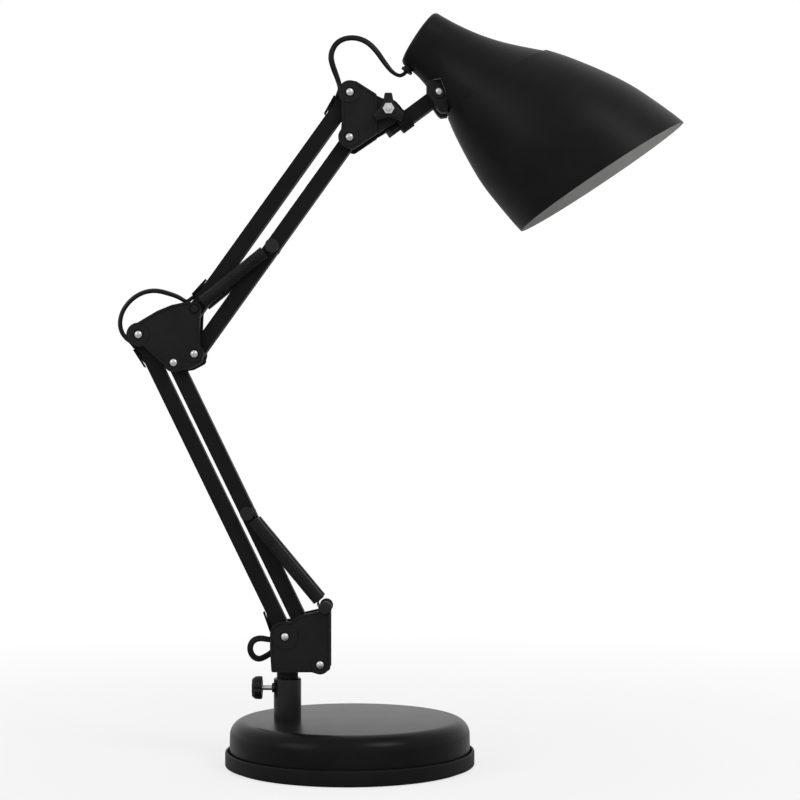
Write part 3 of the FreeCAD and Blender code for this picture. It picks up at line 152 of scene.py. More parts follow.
CORD = surface("cord_vinyl", (0.005, 0.005, 0.005), (0.008, 0.008, 0.008), (0.32, 0.42), bump=0.05,
               grain=600, spec=0.10)
RUBBER = surface("foot_rubber", (0.012, 0.012, 0.012), (0.02, 0.02, 0.02), (0.7, 0.85), bump=0.3)
CAST = surface("cast_weight", (0.06, 0.06, 0.06), (0.11, 0.11, 0.11), (0.6, 0.8), bump=0.5, grain=260,
               metal=0.4)
BRASS = surface("brass", (0.55, 0.38, 0.12), (0.66, 0.47, 0.18), (0.25, 0.4), bump=0.05, metal=1.0)

LOOKS = {
    "base_pad": RUBBER, "base_tray": PAINT, "base_cover": COVER, "base_weight": CAST,
    "base_screws": ZINC, "stem_tube": GLOSSY, "stem_nut": ZINC, "cord_inlet": MOULDED,
    "thumb_knob": MOULDED, "thumb_shank": ZINC, "mast_pin": PAINT,
    "lower_plate_near": MOULDED, "lower_plate_far": MOULDED, "lower_screws": ZINC,
    "lower_nuts": ZINC, "lower_sleeves": ZINC, "lower_washers": MOULDED,
    "lower_spring_studs": GLOSSY, "lower_bar_left": PAINT, "lower_bar_right": PAINT,
    "lower_spring_pin": GLOSSY, "elbow_plate_near": MOULDED, "elbow_plate_far": MOULDED,
    "elbow_screws": ZINC, "elbow_nuts": ZINC, "elbow_sleeves": ZINC, "elbow_washers": MOULDED,
    "upper_bar_left": PAINT, "upper_bar_right": PAINT, "upper_spring_pin": GLOSSY,
    "top_plate_near": MOULDED, "top_plate_far": MOULDED, "top_screws": ZINC, "top_nuts": ZINC,
    "top_sleeves": ZINC, "top_washers": MOULDED, "head_nut": ZINC, "head_knob": MOULDED,
    "head_bolt": ZINC, "swivel_block": PAINT, "head_arm": PAINT, "head_arm_nut": GLOSSY,
    "shade_lug": MOULDED, "lug_screw": ZINC, "shade_neck": SHADE_OUT, "shade_bell": SHADE_OUT,
    "cord_gland": MOULDED, "lampholder": MOULDED, "lampholder_contacts": BRASS,
    "lampholder_nipple": ZINC,
}
for name, piece in frame["nodes"].items():
    look = LOOKS.get(name, CORD if name.startswith("cord_") else SPRING)
    for slot in piece.material_slots:
        slot.material = look

# ---------------------------------------------------------------- places (mm, picture plane)

JOINTS = {joint["name"]: joint["pos_m"] for joint in frame["joints"]}


def pivot(joint):
    """A joint's place in the picture plane, as (x, z)."""
    x, _, z = JOINTS[joint]
    return (x / MM, z / MM)


def follow(start, base, end):
    """The place that is as far from start as end is from base: the fourth corner of an arm."""
    return (start[0] + end[0] - base[0], start[1] + end[1] - base[1])


def middle(a, b):
    return ((a[0] + b[0]) / 2, (a[1] + b[1]) / 2)


def distance(a, b):
    return (Vector(b) - Vector(a)).length


def flat(point, y=0.0):
    """A place in the picture plane, at a depth y from the lamp's middle, in metres."""
    return Vector((point[0] * MM, y * MM, point[1] * MM))


MAST_L = pivot("lower_arm_fold")
MAST_R = pivot("lower_right_bar_turn")
ELBOW_L = pivot("elbow_turn")
ELBOW_R = follow(MAST_R, MAST_L, ELBOW_L)
ELBOW_T = pivot("upper_arm_fold")
ELBOW_B = pivot("upper_right_bar_turn")
TOP_L = pivot("top_bracket_turn")
TOP_R = follow(ELBOW_B, ELBOW_T, TOP_L)
KNOB = pivot("head_tilt")
TILT = pivot("shade_tilt")
LOWER_MID = middle(MAST_R, ELBOW_R)
UPPER_MID = middle(ELBOW_B, TOP_R)
STUD = (-19.4, 127.0)
TO_VIEWER = (0, -1, 0)

# ---------------------------------------------------------------- mesh helpers


def mesh_object(name, verts, faces, look, sharp=None):
    """A smooth-shaded mesh in one look or a list of them, sharp at edges over so many degrees."""
    data = bpy.data.meshes.new(name)
    data.from_pydata([tuple(v) for v in verts], [], faces)
    data.validate()
    data.update()
    for poly in data.polygons:
        poly.use_smooth = True
    looks = look if isinstance(look, list) else [look]
    for item in looks:
        data.materials.append(item)
    piece = bpy.data.objects.new(name, data)
    bpy.context.scene.collection.objects.link(piece)
    if sharp:
        mark_sharp(data, sharp)
    return piece


def mark_sharp(data, degrees):
    """Marks the edges that turn by more than the angle, so that smooth shading stops there."""
    sides = {}
    for poly in data.polygons:
        for key in poly.edge_keys:
            sides.setdefault(key, []).append(poly.normal.copy())
    limit = math.cos(math.radians(degrees))
    for edge in data.edges:
        found = sides.get(tuple(sorted(edge.vertices)), [])
        if len(found) == 2 and found[0].dot(found[1]) < limit:
            edge.use_edge_sharp = True


def band(i, j, steps):
    """The faces between ring i and ring j of a mesh whose rings have so many points each."""
    faces = []
    for k in range(steps):
        m = (k + 1) % steps
        faces.append((i * steps + k, i * steps + m, j * steps + m, j * steps + k))
    return faces


def turned(name, rows, look, centre=(0, 0, 0), axis=(0, 0, 1), steps=48, closed=False):
    """A body of revolution from (radius, height) rows in mm, with sharp corners kept."""
    turn = Vector((0, 0, 1)).rotation_difference(Vector(axis)).to_matrix()
    at = Vector(centre)
    verts = []
    for r, z in rows:
        for k in range(steps):
            a = 2 * math.pi * k / steps
            verts.append(at + turn @ Vector((r * MM * math.cos(a), r * MM * math.sin(a), z * MM)))
    faces = []
    count = len(rows)
    for i in range(count if closed else count - 1):
        faces += band(i, (i + 1) % count, steps)
    return mesh_object(name, verts, faces, look, sharp=28)


def prism(name, outline, low, high, look, bevel):
    """A plate from an outline of (x, z) points in mm, from one depth y to another, with soft edges."""
    count = len(outline)
    verts = [flat(p, low) for p in outline] + [flat(p, high) for p in outline]
    faces = [tuple(range(count)), tuple(reversed(range(count, 2 * count)))]
    for i in range(count):
        j = (i + 1) % count
        faces.append((j, i, i + count, j + count))
    piece = mesh_object(name, verts, faces, look)
    soft = piece.modifiers.new("soft", "BEVEL")
    soft.width = bevel * MM
    soft.segments = 3
    soft.limit_method = "ANGLE"
    soft.angle_limit = math.radians(20)
    bake(piece)
    mark_sharp(piece.data, 35)
    return piece


def bake(piece):
    """Applies the modifiers of a piece."""
    graph = bpy.context.evaluated_depsgraph_get()
    data = bpy.data.meshes.new_from_object(piece.evaluated_get(graph))
    piece.modifiers.clear()
    piece.data = data


def cut_away(piece, tool):
    """Takes the tool's shape out of a piece, and then the tool out of the scene."""
    cut = piece.modifiers.new("cut", "BOOLEAN")
    cut.operation = "DIFFERENCE"
    cut.solver = "EXACT"
    cut.object = tool
    bake(piece)
    bpy.data.objects.remove(tool, do_unlink=True)


def fillet(rows, radii, steps):
    """Rounds the corners of a closed (radius, height) outline, each by its radius."""
    out = []
    count = len(rows)
    for i, (point, radius) in enumerate(zip(rows, radii)):
        p = Vector(point)
        if radius <= 0:
            out.append((p.x, p.y))
            continue
        a = (Vector(rows[i - 1]) - p).normalized()
        b = (Vector(rows[(i + 1) % count]) - p).normalized()
        half = a.angle(b) / 2
        back = radius / math.tan(half)
        centre = p + (a + b).normalized() * (radius / math.sin(half))
        start = p + a * back - centre
        end = p + b * back - centre
        span = start.angle(end)
        sign = 1 if start.x * end.y - start.y * end.x > 0 else -1
        for k in range(steps + 1):
            t = sign * span * k / steps
            c, s = math.cos(t), math.sin(t)
            q = centre + Vector((start.x * c - start.y * s, start.x * s + start.y * c))
            out.append((q.x, q.y))
    return out


def sweep(name, path, section, look, twist=None):
    """Carries a closed section, given as (wide, thin) offsets in metres, along a path.

    twist is the section's turn about the path, in radians, at each point.
    """
    verts = []
    faces = []
    count = len(path)
    size = len(section)
    across = Vector((0, 1, 0))
    for i, p in enumerate(path):
        way = (path[min(i + 1, count - 1)] - path[max(i - 1, 0)]).normalized()
        across = (across - way * across.dot(way)).normalized()
        thin = way.cross(across)
        turn = twist[i] if twist else 0.0
        c, s = math.cos(turn), math.sin(turn)
        for a, b in section:
            verts.append(p + across * (a * c - b * s) + thin * (a * s + b * c))
    for i in range(count - 1):
        faces += band(i, i + 1, size)
    faces.append(tuple(range(size)))
    faces.append(tuple((count - 1) * size + k for k in reversed(range(size))))
    return mesh_object(name, verts, faces, look, sharp=60)


# ---------------------------------------------------------------- base

BASE_STEPS = 192
COVER_RADIUS = 96.0
COVER_TOP = 37.5
COVER_WALL = 1.5
FLOOR_TOP = 4.0
FLOOR_BOTTOM = 1.5
RIM_TOP = 13.0
RIM_OUTSIDE = 99.5
RIM_INSIDE = 97.3


def base():
    """The cover with its round shoulder, and the tray with the rim around the cover's foot."""
    under = COVER_TOP - COVER_WALL
    cover = [(0, under), (0, COVER_TOP), (COVER_RADIUS - 0.5, COVER_TOP), (COVER_RADIUS, RIM_TOP),
             (COVER_RADIUS, FLOOR_TOP), (COVER_RADIUS - COVER_WALL, FLOOR_TOP),
             (COVER_RADIUS - COVER_WALL - 0.5, under)]
    shoulder = 12.0
    rows = fillet(cover, [0, 0, shoulder, 0, 0, 0, shoulder - COVER_WALL], steps=10)
    piece = turned("base_cover_skin", rows, COVER, steps=BASE_STEPS)
    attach(piece, "base")
    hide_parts("base_cover")
    tray = [(0, FLOOR_BOTTOM), (RIM_OUTSIDE, FLOOR_BOTTOM), (RIM_OUTSIDE, RIM_TOP), (RIM_INSIDE, RIM_TOP),
            (RIM_INSIDE, FLOOR_TOP), (0, FLOOR_TOP)]
    rows = fillet(tray, [0, 0.8, 1.4, 0.5, 0, 0], steps=5)
    piece = turned("base_tray_skin", rows, PAINT, steps=BASE_STEPS)
    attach(piece, "base")
    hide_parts("base_tray")


# ---------------------------------------------------------------- shade

SHADE_WALL = 1.2
SHADE_STEPS = 128
MOUTH_LEAN = 56.7
MOUTH = (201.4, 470.4)
SEAM_RADIUS = 46.6

# Rings of the bell: (depth behind the mouth, radius, shift off the mouth's axis).
BELL = [(0.0, 77.0, 0.0), (10.0, 76.3, -2.4), (35.0, 72.9, -8.7), (50.0, 69.9, -12.6),
        (65.0, 65.4, -16.6), (80.0, 60.0, -20.8), (95.0, 53.9, -25.15), (107.2, 48.0, -28.9)]

# Rings of the neck, and of the round edge at its back: (x, z, lean in degrees, radius).
NECK = [(106.0, 549.5, 53.0, 40.3), (96.2, 554.4, 49.0, 35.2), (86.8, 560.1, 45.0, 31.0),
        (78.0, 566.2, 41.5, 27.8), (69.3, 572.3, 38.0, 25.6), (61.1, 577.7, 34.6, 24.6),
        (57.0, 580.5, 34.6, 24.3)]
NECK_EDGE = [(56.2, 581.1, 34.6, 24.1), (55.2, 581.7, 34.6, 23.4), (54.5, 582.2, 34.6, 22.4),
             (54.2, 582.4, 34.6, 21.0)]


def bell_ring(depth, radius, shift):
    """The same ring as (x, z, lean in degrees, radius)."""
    a = math.radians(MOUTH_LEAN)
    x = MOUTH[0] - math.cos(a) * depth + math.sin(a) * shift
    z = MOUTH[1] + math.sin(a) * depth + math.cos(a) * shift
    return (x, z, MOUTH_LEAN, radius)


def refine(rings, parts=5):
    """More rings on a smooth curve through the given ones."""
    out = []
    last = len(rings) - 1
    for i in range(last):
        p0 = rings[max(i - 1, 0)]
        p1 = rings[i]
        p2 = rings[i + 1]
        p3 = rings[min(i + 2, last)]
        for k in range(parts):
            t = k / parts
            row = []
            for a, b, c, d in zip(p0, p1, p2, p3):
                row.append(0.5 * (2 * b + (c - a) * t + (2 * a - 5 * b + 4 * c - d) * t * t
                                  + (3 * b - a - 3 * c + d) * t ** 3))
            out.append(tuple(row))
    out.append(rings[-1])
    return out


def hoops(rings, wall):
    """The points of round rings (x, z, lean, radius), a wall's thickness inside them."""
    out = []
    side = Vector((0, 1, 0))
    for x, z, lean, r in rings:
        a = math.radians(lean)
        up = Vector((math.sin(a), 0, math.cos(a)))
        row = []
        for k in range(SHADE_STEPS):
            t = 2 * math.pi * k / SHADE_STEPS
            row.append(flat((x, z)) + (up * math.cos(t) + side * math.sin(t)) * ((r - wall) * MM))
        out.append(row)
    return out


def skin(name, outer, inner, closed_back=False):
    """A thin wall between outer and inner hoops, dark outside and light inside, open in front."""
    steps = SHADE_STEPS
    rows = len(outer)
    total = rows + len(inner)
    verts = []
    faces = []
    kinds = []
    for row in outer + inner:
        verts += row

    def strip(i, j, kind, flip):
        for quad in band(i, j, steps):
            faces.append(tuple(reversed(quad)) if flip else quad)
            kinds.append(kind)

    for i in range(rows - 1):
        strip(i, i + 1, 0, False)
    for i in range(rows, total - 1):
        strip(i, i + 1, 1, True)
    strip(0, rows, 0, True)
    if closed_back:
        faces.append(tuple((rows - 1) * steps + k for k in reversed(range(steps))))
        kinds.append(0)
        faces.append(tuple((total - 1) * steps + k for k in range(steps)))
        kinds.append(1)
    else:
        strip(rows - 1, total - 1, 0, False)
    piece = mesh_object(name, verts, faces, [SHADE_OUT, SHADE_IN], sharp=35)
    for poly, kind in zip(piece.data.polygons, kinds):
        poly.material_index = kind
    return piece


def shade():
    """The bell, and the neck with the cut-out for the moulded block."""
    bell = refine([bell_ring(*row) for row in BELL])
    piece = skin("shade_bell_skin", hoops(bell, 0.0), hoops(bell, SHADE_WALL))
    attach(piece, "shade")
    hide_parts("shade_bell")
    neck = refine([bell[-1][:3] + (SEAM_RADIUS,)] + NECK)
    piece = skin("shade_neck_skin", hoops(neck + NECK_EDGE, 0.0), hoops(neck, SHADE_WALL),
                 closed_back=True)
    cut_lug(piece)
    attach(piece, "shade")
    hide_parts("shade_neck")


# ---------------------------------------------------------------- lug and screw heads

# The ears' outline as it is cut into the neck, and as it fills that cut.
EAR = [(61.2, 545.5), (61.2, 535.0), (70.0, 522.0), (72.8, 519.6), (76.5, 520.9), (76.2, 534.0),
       (72.0, 545.0)]
EAR_SOLID = EAR[:4] + [(78.4, 520.4), (78.4, 534.5), (73.8, 547.2)]
EAR_OUTSIDE = 16.0
EAR_INSIDE = 6.6
EAR_CUT = 24.0
LUG_CUT = 10.55
KEEN = 0.01
BOSS_RADIUS = 5.4
BOSS_RISE = 1.2
SCREW_FACE = -13.9
CAP_FACE = -13.95


def cut_lug(piece):
    """The cut-outs in the neck that the moulded block and its ears fill."""
    back = Vector((63.6, 543.0))
    front = Vector((75.2, 525.0))
    outward = Vector((-3.2, -2.5)) * 4
    inward = Vector((0.79, 0.613)) * 12
    corners = [back + outward, front + outward, front + inward, back + inward]
    tool = prism("lug_cutter", corners, -LUG_CUT, LUG_CUT, SHADE_IN, bevel=KEEN)
    cut_away(piece, tool)
    tool = prism("ear_cutter", EAR, -EAR_CUT, EAR_CUT, SHADE_IN, bevel=KEEN)
    cut_away(piece, tool)


def lug():
    """The two ears of the moulded block, with a boss and the tilt screw's head on the near one."""
    for word, low, high in (("near", -EAR_OUTSIDE, -EAR_INSIDE), ("far", EAR_INSIDE, EAR_OUTSIDE)):
        piece = prism("shade_ear_" + word, EAR_SOLID, low, high, MOULDED, bevel=0.8)
        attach(piece, "shade")
    boss = [(0, -2.0), (BOSS_RADIUS, -2.0), (BOSS_RADIUS, BOSS_RISE), (0, BOSS_RISE)]
    rows = fillet(boss, [0, 0, 0.5, 0], steps=4)
    piece = turned("shade_ear_boss", rows, MOULDED, flat(TILT, -EAR_OUTSIDE), TO_VIEWER)
    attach(piece, "shade")
    piece = screw_dome("lug_screw_head", TILT, -EAR_OUTSIDE - BOSS_RISE, rise=1.0)
    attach(piece, "shade")


def screw_dome(name, place, depth, rise=0.0):
    """A screw's rounded head, facing the viewer, with its dome raised by rise."""
    rows = [(0, rise + 0.8), (0.9, rise + 0.74), (1.7, rise + 0.55), (2.3, rise + 0.25),
            (2.75, rise - 0.2), (2.75, -0.1)]
    return turned(name, rows, ZINC, flat(place, depth), TO_VIEWER, steps=32)


def screw_heads():
    """The screws' heads on the near plates, and the dark cap at the elbow's upper pivot."""
    rows = (("lower", "mast", (MAST_L, MAST_R)), ("elbow", "elbow", (ELBOW_L, ELBOW_R, ELBOW_B)),
            ("top", "top_bracket", (TOP_L, TOP_R)))
    for stem, body, places in rows:
        for k, place in enumerate(places):
            piece = screw_dome("%s_screw_dome%d" % (stem, k), place, SCREW_FACE)
            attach(piece, body)
    cap = [(0, 0.5), (2.9, 0.3), (3.3, -0.4)]
    piece = turned("elbow_dark_cap", cap, MOULDED, flat(ELBOW_T, CAP_FACE), TO_VIEWER, steps=32)
    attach(piece, "elbow")


# ---------------------------------------------------------------- knobs and caps

PLATE_FACE = -13.5
HUB_FACE = -11.55
LOBE_FACE = -20.0
LOBE_BACK = PLATE_FACE - 0.4
LOBE_ANGLES = (91, 211, 331)
LOBE_ROOT = 5.0
LOBE_ROOT_HALF = 4.3
LOBE_TIP = 13.0
LOBE_TIP_HALF = 2.9
BOLT_FACE = -23.5
CAP_RADIUS = 5.4


def head_knob():
    """Three lobes that narrow to their tips, on a round hub, with the bolt's end in the middle."""
    outline = []
    for angle in LOBE_ANGLES:
        out = Vector((math.cos(math.radians(angle)), math.sin(math.radians(angle))))
        wide = Vector((-out.y, out.x))
        for reach, half in ((LOBE_ROOT, -LOBE_ROOT_HALF), (LOBE_TIP, -LOBE_TIP_HALF),
                            (LOBE_TIP, LOBE_TIP_HALF), (LOBE_ROOT, LOBE_ROOT_HALF)):
            outline.append(Vector(KNOB) + out * reach + wide * half)
    piece = prism("head_knob_lobes", outline, LOBE_FACE, LOBE_BACK, MOULDED, bevel=0.9)
    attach(piece, "head_knob")
    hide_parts("head_knob")
    hub = [(2.6, 0), (6.4, 0), (6.4, 4.0), (2.6, 4.0)]
    piece = turned("head_knob_hub", hub, MOULDED, flat(KNOB, HUB_FACE), TO_VIEWER, closed=True)
    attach(piece, "head_knob")
    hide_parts("head_knob")
    end = fillet([(0, 0), (2.4, 0), (2.4, 1.0), (0, 1.0)], [0, 0, 0.4, 0], steps=3)
    piece = turned("head_bolt_end", end, ZINC, flat(KNOB, BOLT_FACE), TO_VIEWER, steps=32)
    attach(piece, "head_knob")


def stud_caps():
    """The slightly domed cap on the spring stud's end at each plate."""
    cap = [(0, 0), (CAP_RADIUS, 0), (CAP_RADIUS, 2.0), (0, 2.2)]
    rows = fillet(cap, [0, 0.2, 1.1, 0], steps=5)
    for word, way in (("near", -1), ("far", 1)):
        place = flat(STUD, way * -PLATE_FACE)
        piece = turned("lower_stud_cap_" + word, rows, GLOSSY, place, (0, way, 0))
        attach(piece, "mast")


def thumb_knob():
    """A scalloped grip that narrows to its outer face."""
    lobes = 8
    steps = lobes * 12
    axis_height = pivot("thumb_screw_turn")[1]
    outer = -78.2
    inner = -70.2
    plain_radius = 6.5
    rows = [(outer, 5.8), (outer, 6.9), (outer + 0.6, 7.6), (outer + 2.6, 9.0), (inner - 0.8, 9.25),
            (inner, 8.6), (inner, 2.05)]
    verts = []
    faces = []
    for x, radius in rows:
        depth = 0.95 if radius > plain_radius else 0.0
        for k in range(steps):
            a = 2 * math.pi * k / steps
            r = radius - depth * max(0.0, math.cos(lobes * a)) ** 1.5
            verts.append(Vector((x, r * math.cos(a), axis_height + r * math.sin(a))) * MM)
    for i in range(len(rows) - 1):
        faces += band(i, i + 1, steps)
    faces.append(tuple(reversed(range(steps))))
    piece = mesh_object("thumb_knob_grip", verts, faces, MOULDED, sharp=30)
    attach(piece, "thumb_screw")
    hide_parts("thumb_knob")


# ---------------------------------------------------------------- springs

COIL_RADIUS = 4.6
COIL_PITCH = 1.15
COIL_DEPTH = 12.2
TURN_STEPS = 14
WIRE_RADIUS = 0.55
HOOK_RADIUS = 3.9
HOOK_GAP = 0.05
HOOK_INSIDE = HOOK_RADIUS - WIRE_RADIUS - HOOK_GAP
PIN_RADIUS = 1.75
SLEEVE_RADIUS = 3.25


def ring_section(radius, sides):
    out = []
    for k in range(sides):
        a = 2 * math.pi * k / sides
        out.append((radius * MM * math.cos(a), radius * MM * math.sin(a)))
    return out


def spring(name, start, end, body_length, side, held):
    """A close-wound coil between two hooks. Returns it, and the places its hooks are held at.

    held is the radius of the pin in each hook. The hooks lie in line with the coil's inner side,
    which faces the lamp's middle.
    """
    a = flat(start)
    b = flat(end)
    reach = (b - a).length / MM
    along = (b - a).normalized()
    across = Vector((0, 1, 0)).cross(along)
    hook_depth = COIL_DEPTH - COIL_RADIUS
    first = (reach - body_length) / 2
    last = first + body_length
    low = HOOK_INSIDE - held[0]
    high = reach - (HOOK_INSIDE - held[1])
    points = []

    def add(s, c, depth):
        points.append(a + along * (s * MM) + across * (c * MM) + Vector((0, side * depth * MM, 0)))

    def bend(centre, angle, span, steps):
        """An arc of the hooks' radius, from an angle on by span, in degrees."""
        for k in range(steps + 1):
            t = math.radians(angle + span * k / steps)
            add(centre + HOOK_RADIUS * math.cos(t), HOOK_RADIUS * math.sin(t), hook_depth)

    bend(low, 45, 225, 12)
    add((low + first - HOOK_RADIUS) / 2, -HOOK_RADIUS, hook_depth)
    bend(first - HOOK_RADIUS, -90, 90, 4)
    steps = int(body_length / COIL_PITCH) * TURN_STEPS
    for k in range(1, steps):
        t = 2 * math.pi * k / TURN_STEPS
        place = first + body_length * k / steps
        add(place, COIL_RADIUS * math.sin(t), COIL_DEPTH - COIL_RADIUS * math.cos(t))
    bend(last + HOOK_RADIUS, 180, -90, 4)
    add((last + HOOK_RADIUS + high) / 2, HOOK_RADIUS, hook_depth)
    bend(high, 90, -225, 12)
    piece = sweep(name, points, ring_section(WIRE_RADIUS, 8), SPRING)
    return piece, a, b


def springs():
    """Two springs for each arm, from its foot's stud or sleeve to the pin half way along it."""
    sets = (("lower", STUD, LOWER_MID, 82.0, "mast", "lower_bar_right", PIN_RADIUS),
            ("upper", ELBOW_T, UPPER_MID, 63.0, "elbow", "upper_bar_right", SLEEVE_RADIUS))
    for stem, start, end, length, one, two, held in sets:
        for side, word in ((-1, "near"), (1, "far")):
            piece, a, b = spring("%s_spring_%s" % (stem, word), start, end, length, side,
                                 (held, PIN_RADIUS))
            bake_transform(piece)
            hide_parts(stem + "_springs")


# ---------------------------------------------------------------- bars' ends and cord

# The strip that holds the flex to a bar's end: places along the bar and out from its middle.
STRIP_ROOT = (8.0, 10.2)
STRIP_TIP = (24.5, 8.3)
STRIP_THICK = 1.0
STRIP_HALF = 4.0

CORE_RADIUS = 1.5
CORE_OFFSET = 1.0
FLEX_GAP = 0.25
FLEX_MARKS = (5.0, 9.5)
DIP_START = 9.0
DIP_SLOPE = 0.29
PATH_STEPS = 8
LEAN_SHARE = 0.30
GLAND_WAY = Vector((0.55, 0.83)).normalized()
GLAND = Vector((45.0, 554.9)) + GLAND_WAY * 2.0


def on_bar(start, end, along, out):
    """The place so far along a bar from its start and so far out to its left."""
    a = Vector(start)
    run = (Vector(end) - a).normalized()
    left = Vector((-run.y, run.x))
    p = a + run * along + left * out
    return (p.x, p.y)


def under_strip(along):
    """How far out the flex's middle is, as it slopes in under the strip."""
    room = CORE_RADIUS + FLEX_GAP
    return STRIP_ROOT[1] - STRIP_THICK - room - DIP_SLOPE * (along - DIP_START)


def into_bar(start, end, along, out):
    """The flex's last three points at a bar's start, the first of them free."""
    points = [on_bar(start, end, along, out)]
    for mark in FLEX_MARKS:
        points.append(on_bar(start, end, mark, under_strip(mark)))
    return points


def out_of_bar(start, end, out):
    """The flex's first three points at a bar's end, the last of them free."""
    reach = distance(start, end)
    points = []
    for mark in reversed(FLEX_MARKS):
        points.append(on_bar(start, end, reach - mark, under_strip(mark)))
    points.append(on_bar(start, end, reach, out))
    return points


def smooth_path(points):
    """A quadratic curve through the middles of the runs, from the first to the last point."""
    out = [points[0]]
    start = points[0]
    for i in range(1, len(points) - 1):
        end = points[i + 1] if i == len(points) - 2 else (points[i] + points[i + 1]) / 2
        for k in range(1, PATH_STEPS + 1):
            t = k / PATH_STEPS
            out.append(start * (1 - t) ** 2 + points[i] * (2 * t * (1 - t)) + end * t * t)
        start = end
    return out


def twin_section():
    """The outline of two round cores side by side, 5 mm wide and 3 mm thick."""
    steps = 8
    span = 262
    out = []
    for facing, offset in ((0, CORE_OFFSET), (180, -CORE_OFFSET)):
        for k in range(steps + 1):
            a = math.radians(facing - span / 2 + span * k / steps)
            out.append(((offset + CORE_RADIUS * math.cos(a)) * MM, CORE_RADIUS * math.sin(a) * MM))
    return out


def cord_piece(name, points, node, lean, cut=(0, None)):
    """A stretch of the twin flex between two bodies, or the part of it from one cut to the other.

    The whole stretch is turned about its line by lean, in degrees, and not at all at its ends.
    """
    path = smooth_path([flat(p) for p in points])
    last = len(path) - 1
    twist = []
    for k in range(last + 1):
        share = min(1.0, min(k, last - k) / (LEAN_SHARE * last))
        twist.append(math.radians(lean) * share * share * (3 - 2 * share))
    path = path[cut[0]:cut[1]]
    twist = twist[cut[0]:cut[1]]
    piece = sweep(name, path, twin_section(), CORD, twist)
    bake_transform(piece)
    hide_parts(node)


def cords():
    """The three loops of flex that show: at the mast, at the elbow and at the head."""
    loop = [(-50.0, 70.0), (-50.0, 80.0), (-53.2, 88.2), (-60.4, 92.0), (-66.6, 87.4), (-73.4, 84.4),
            (-78.6, 87.8), (-80.4, 94.0), (-78.0, 99.8), (-71.8, 102.0)]
    loop += into_bar(MAST_L, ELBOW_L, 0.6, 11.4)
    cord_piece("cord_lower_loop_flex", loop, "cord_lower_loop", 78)

    loop = out_of_bar(MAST_L, ELBOW_L, 9.8)
    loop += [(-178.8, 341.0), (-182.9, 346.6), (-184.3, 353.4), (-183.0, 361.0), (-179.0, 368.2),
             (-172.6, 374.6), (-164.0, 379.0), (-154.4, 379.9), (-145.0, 377.4), (-137.0, 374.6)]
    loop += into_bar(ELBOW_T, TOP_L, 0.4, 10.2)
    half_way = PATH_STEPS * 7
    cord_piece("cord_elbow_loop_a", loop, "cord_elbow_loop", 28,
               (0, half_way + 1))
    cord_piece("cord_elbow_loop_b", loop, "cord_elbow_loop", 28,
               (half_way, None))

    loop = out_of_bar(ELBOW_T, TOP_L, 9.9)
    loop += [(-9.8, 549.0), (-13.6, 558.6), (-15.8, 567.6), (-12.3, 576.7), (-5.0, 581.6),
             (5.0, 582.3), (14.2, 578.6), (21.4, 571.4), (27.6, 562.0), (34.6, 553.4),
             tuple(GLAND - GLAND_WAY * 7.0), tuple(GLAND)]
    starts = [0, PATH_STEPS * 5, PATH_STEPS * 8, PATH_STEPS * 10]
    ends = [mark + 1 for mark in starts[1:]] + [None]
    for k, word in enumerate("abcd"):
        cord_piece("cord_head_loop_" + word, loop, "cord_head_loop", 55,
                   (starts[k], ends[k]))


def clips():
    """The strip over the cord at each end of the left bars, with its free end away from the pivot."""
    (root, root_out), (tip, tip_out) = STRIP_ROOT, STRIP_TIP
    profile = ((root, root_out), (tip, tip_out), (tip, tip_out - STRIP_THICK),
               (root, root_out - STRIP_THICK))
    bars = (("lower_bar_left", MAST_L, ELBOW_L), ("upper_bar_left", ELBOW_T, TOP_L))
    for body, start, end in bars:
        for word, a, b, way in (("low", start, end, 1), ("high", end, start, -1)):
            outline = [on_bar(a, b, along, way * out) for along, out in profile]
            piece = prism("%s_clip_%s" % (body, word), outline, -STRIP_HALF, STRIP_HALF, PAINT,
                          bevel=0.25)
            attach(piece, body)


# ---------------------------------------------------------------- stage and light

# The floor's half side in metres, and its glow as (distance in metres, share) near and far.
FLOOR_HALF = 20
GLOW_NEAR = (0.2, 0.75)
GLOW_FAR = (1.0, 1.0)
WORLD_FILL = 0.45


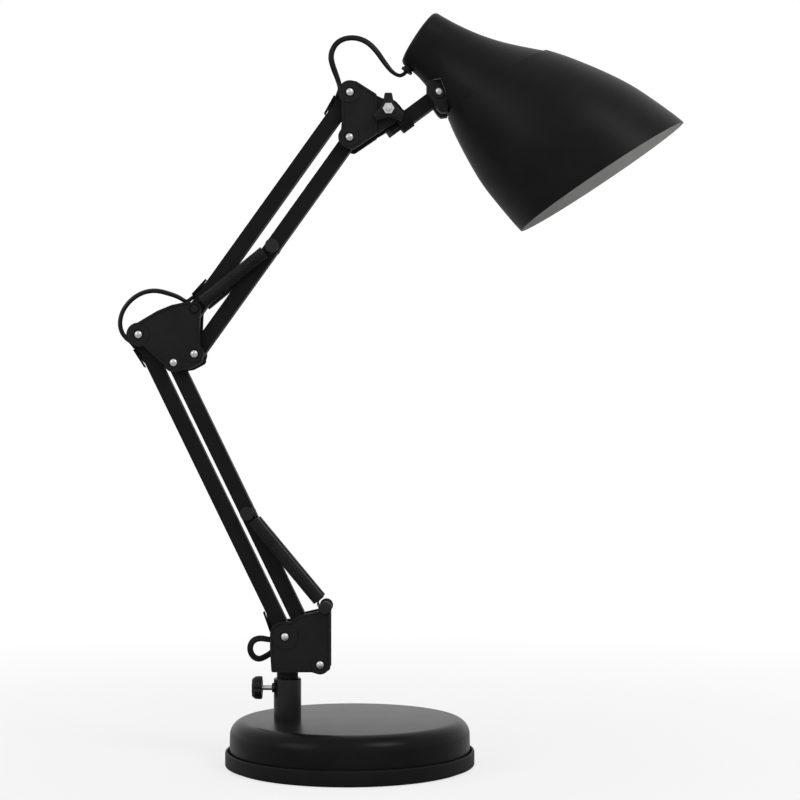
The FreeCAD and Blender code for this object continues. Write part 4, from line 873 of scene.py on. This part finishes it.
def stage():
    """A white floor that glows for the camera alone, less around the base than further out."""
    half = FLOOR_HALF
    data = bpy.data.meshes.new("floor")
    data.from_pydata([(-half, -half, 0), (half, -half, 0), (half, half, 0), (-half, half, 0)], [],
                     [(0, 1, 2, 3)])
    floor = bpy.data.objects.new("floor", data)
    bpy.context.scene.collection.objects.link(floor)
    n = Nodes("floor_white")
    n.shader.inputs["Base Color"].default_value = (0.86, 0.86, 0.86, 1)
    n.shader.inputs["Roughness"].default_value = 0.9
    n.shader.inputs["Specular IOR Level"].default_value = 0.1
    glow = n.add("ShaderNodeEmission")
    glow.inputs["Strength"].default_value = 1.0
    place = n.add("ShaderNodeNewGeometry")
    away = n.add("ShaderNodeVectorMath", operation="LENGTH")
    n.link(place.outputs["Position"], away.inputs[0])
    fade = n.add("ShaderNodeMapRange")
    fade.inputs["From Min"].default_value = GLOW_NEAR[0]
    fade.inputs["From Max"].default_value = GLOW_FAR[0]
    fade.inputs["To Min"].default_value = GLOW_NEAR[1]
    fade.inputs["To Max"].default_value = GLOW_FAR[1]
    n.link(away.outputs["Value"], fade.inputs["Value"])
    path = n.add("ShaderNodeLightPath")
    share = n.add("ShaderNodeMath", operation="MULTIPLY")
    n.link(path.outputs["Is Camera Ray"], share.inputs[0])
    n.link(fade.outputs["Result"], share.inputs[1])
    mix = n.add("ShaderNodeMixShader")
    n.link(share.outputs[0], mix.inputs[0])
    n.link(n.shader.outputs[0], mix.inputs[1])
    n.link(glow.outputs[0], mix.inputs[2])
    n.link(mix.outputs[0], n.tree.nodes["Material Output"].inputs["Surface"])
    floor.data.materials.append(n.mat)


def studio():
    """A white world, at full strength for the camera and reflections and weaker as a light."""
    world = bpy.data.worlds.new("studio")
    bpy.context.scene.world = world
    world.use_nodes = True
    tree = world.node_tree
    ground = tree.nodes["Background"]
    ground.inputs["Color"].default_value = (1, 1, 1, 1)
    path = tree.nodes.new("ShaderNodeLightPath")
    ray = tree.nodes.new("ShaderNodeMath")
    ray.operation = "MAXIMUM"
    tree.links.new(path.outputs["Is Camera Ray"], ray.inputs[0])
    tree.links.new(path.outputs["Is Glossy Ray"], ray.inputs[1])
    strength = tree.nodes.new("ShaderNodeMapRange")
    strength.inputs["To Min"].default_value = WORLD_FILL
    strength.inputs["To Max"].default_value = 1.0
    tree.links.new(ray.outputs[0], strength.inputs["Value"])
    tree.links.new(strength.outputs["Result"], ground.inputs["Strength"])


def lamp(name, place, target, size, power):
    """A square area light of a size in metres and a power in watts, aimed at a target."""
    data = bpy.data.lights.new(name, "AREA")
    data.size = size
    data.energy = power
    item = bpy.data.objects.new(name, data)
    item.location = place
    way = Vector(target) - Vector(place)
    item.rotation_euler = way.to_track_quat("-Z", "Y").to_euler()
    bpy.context.scene.collection.objects.link(item)


stage()
studio()
lamp("key", (1.4, -1.6, 2.2), (0, 0, 0.35), size=1.0, power=26)
lamp("fill", (-1.8, -1.4, 1.2), (0, 0, 0.3), size=1.2, power=12)
base()
thumb_knob()
stud_caps()
head_knob()
lug()
screw_heads()
shade()
springs()
cords()
clips()
bpy.context.scene.view_settings.view_transform = "Standard"
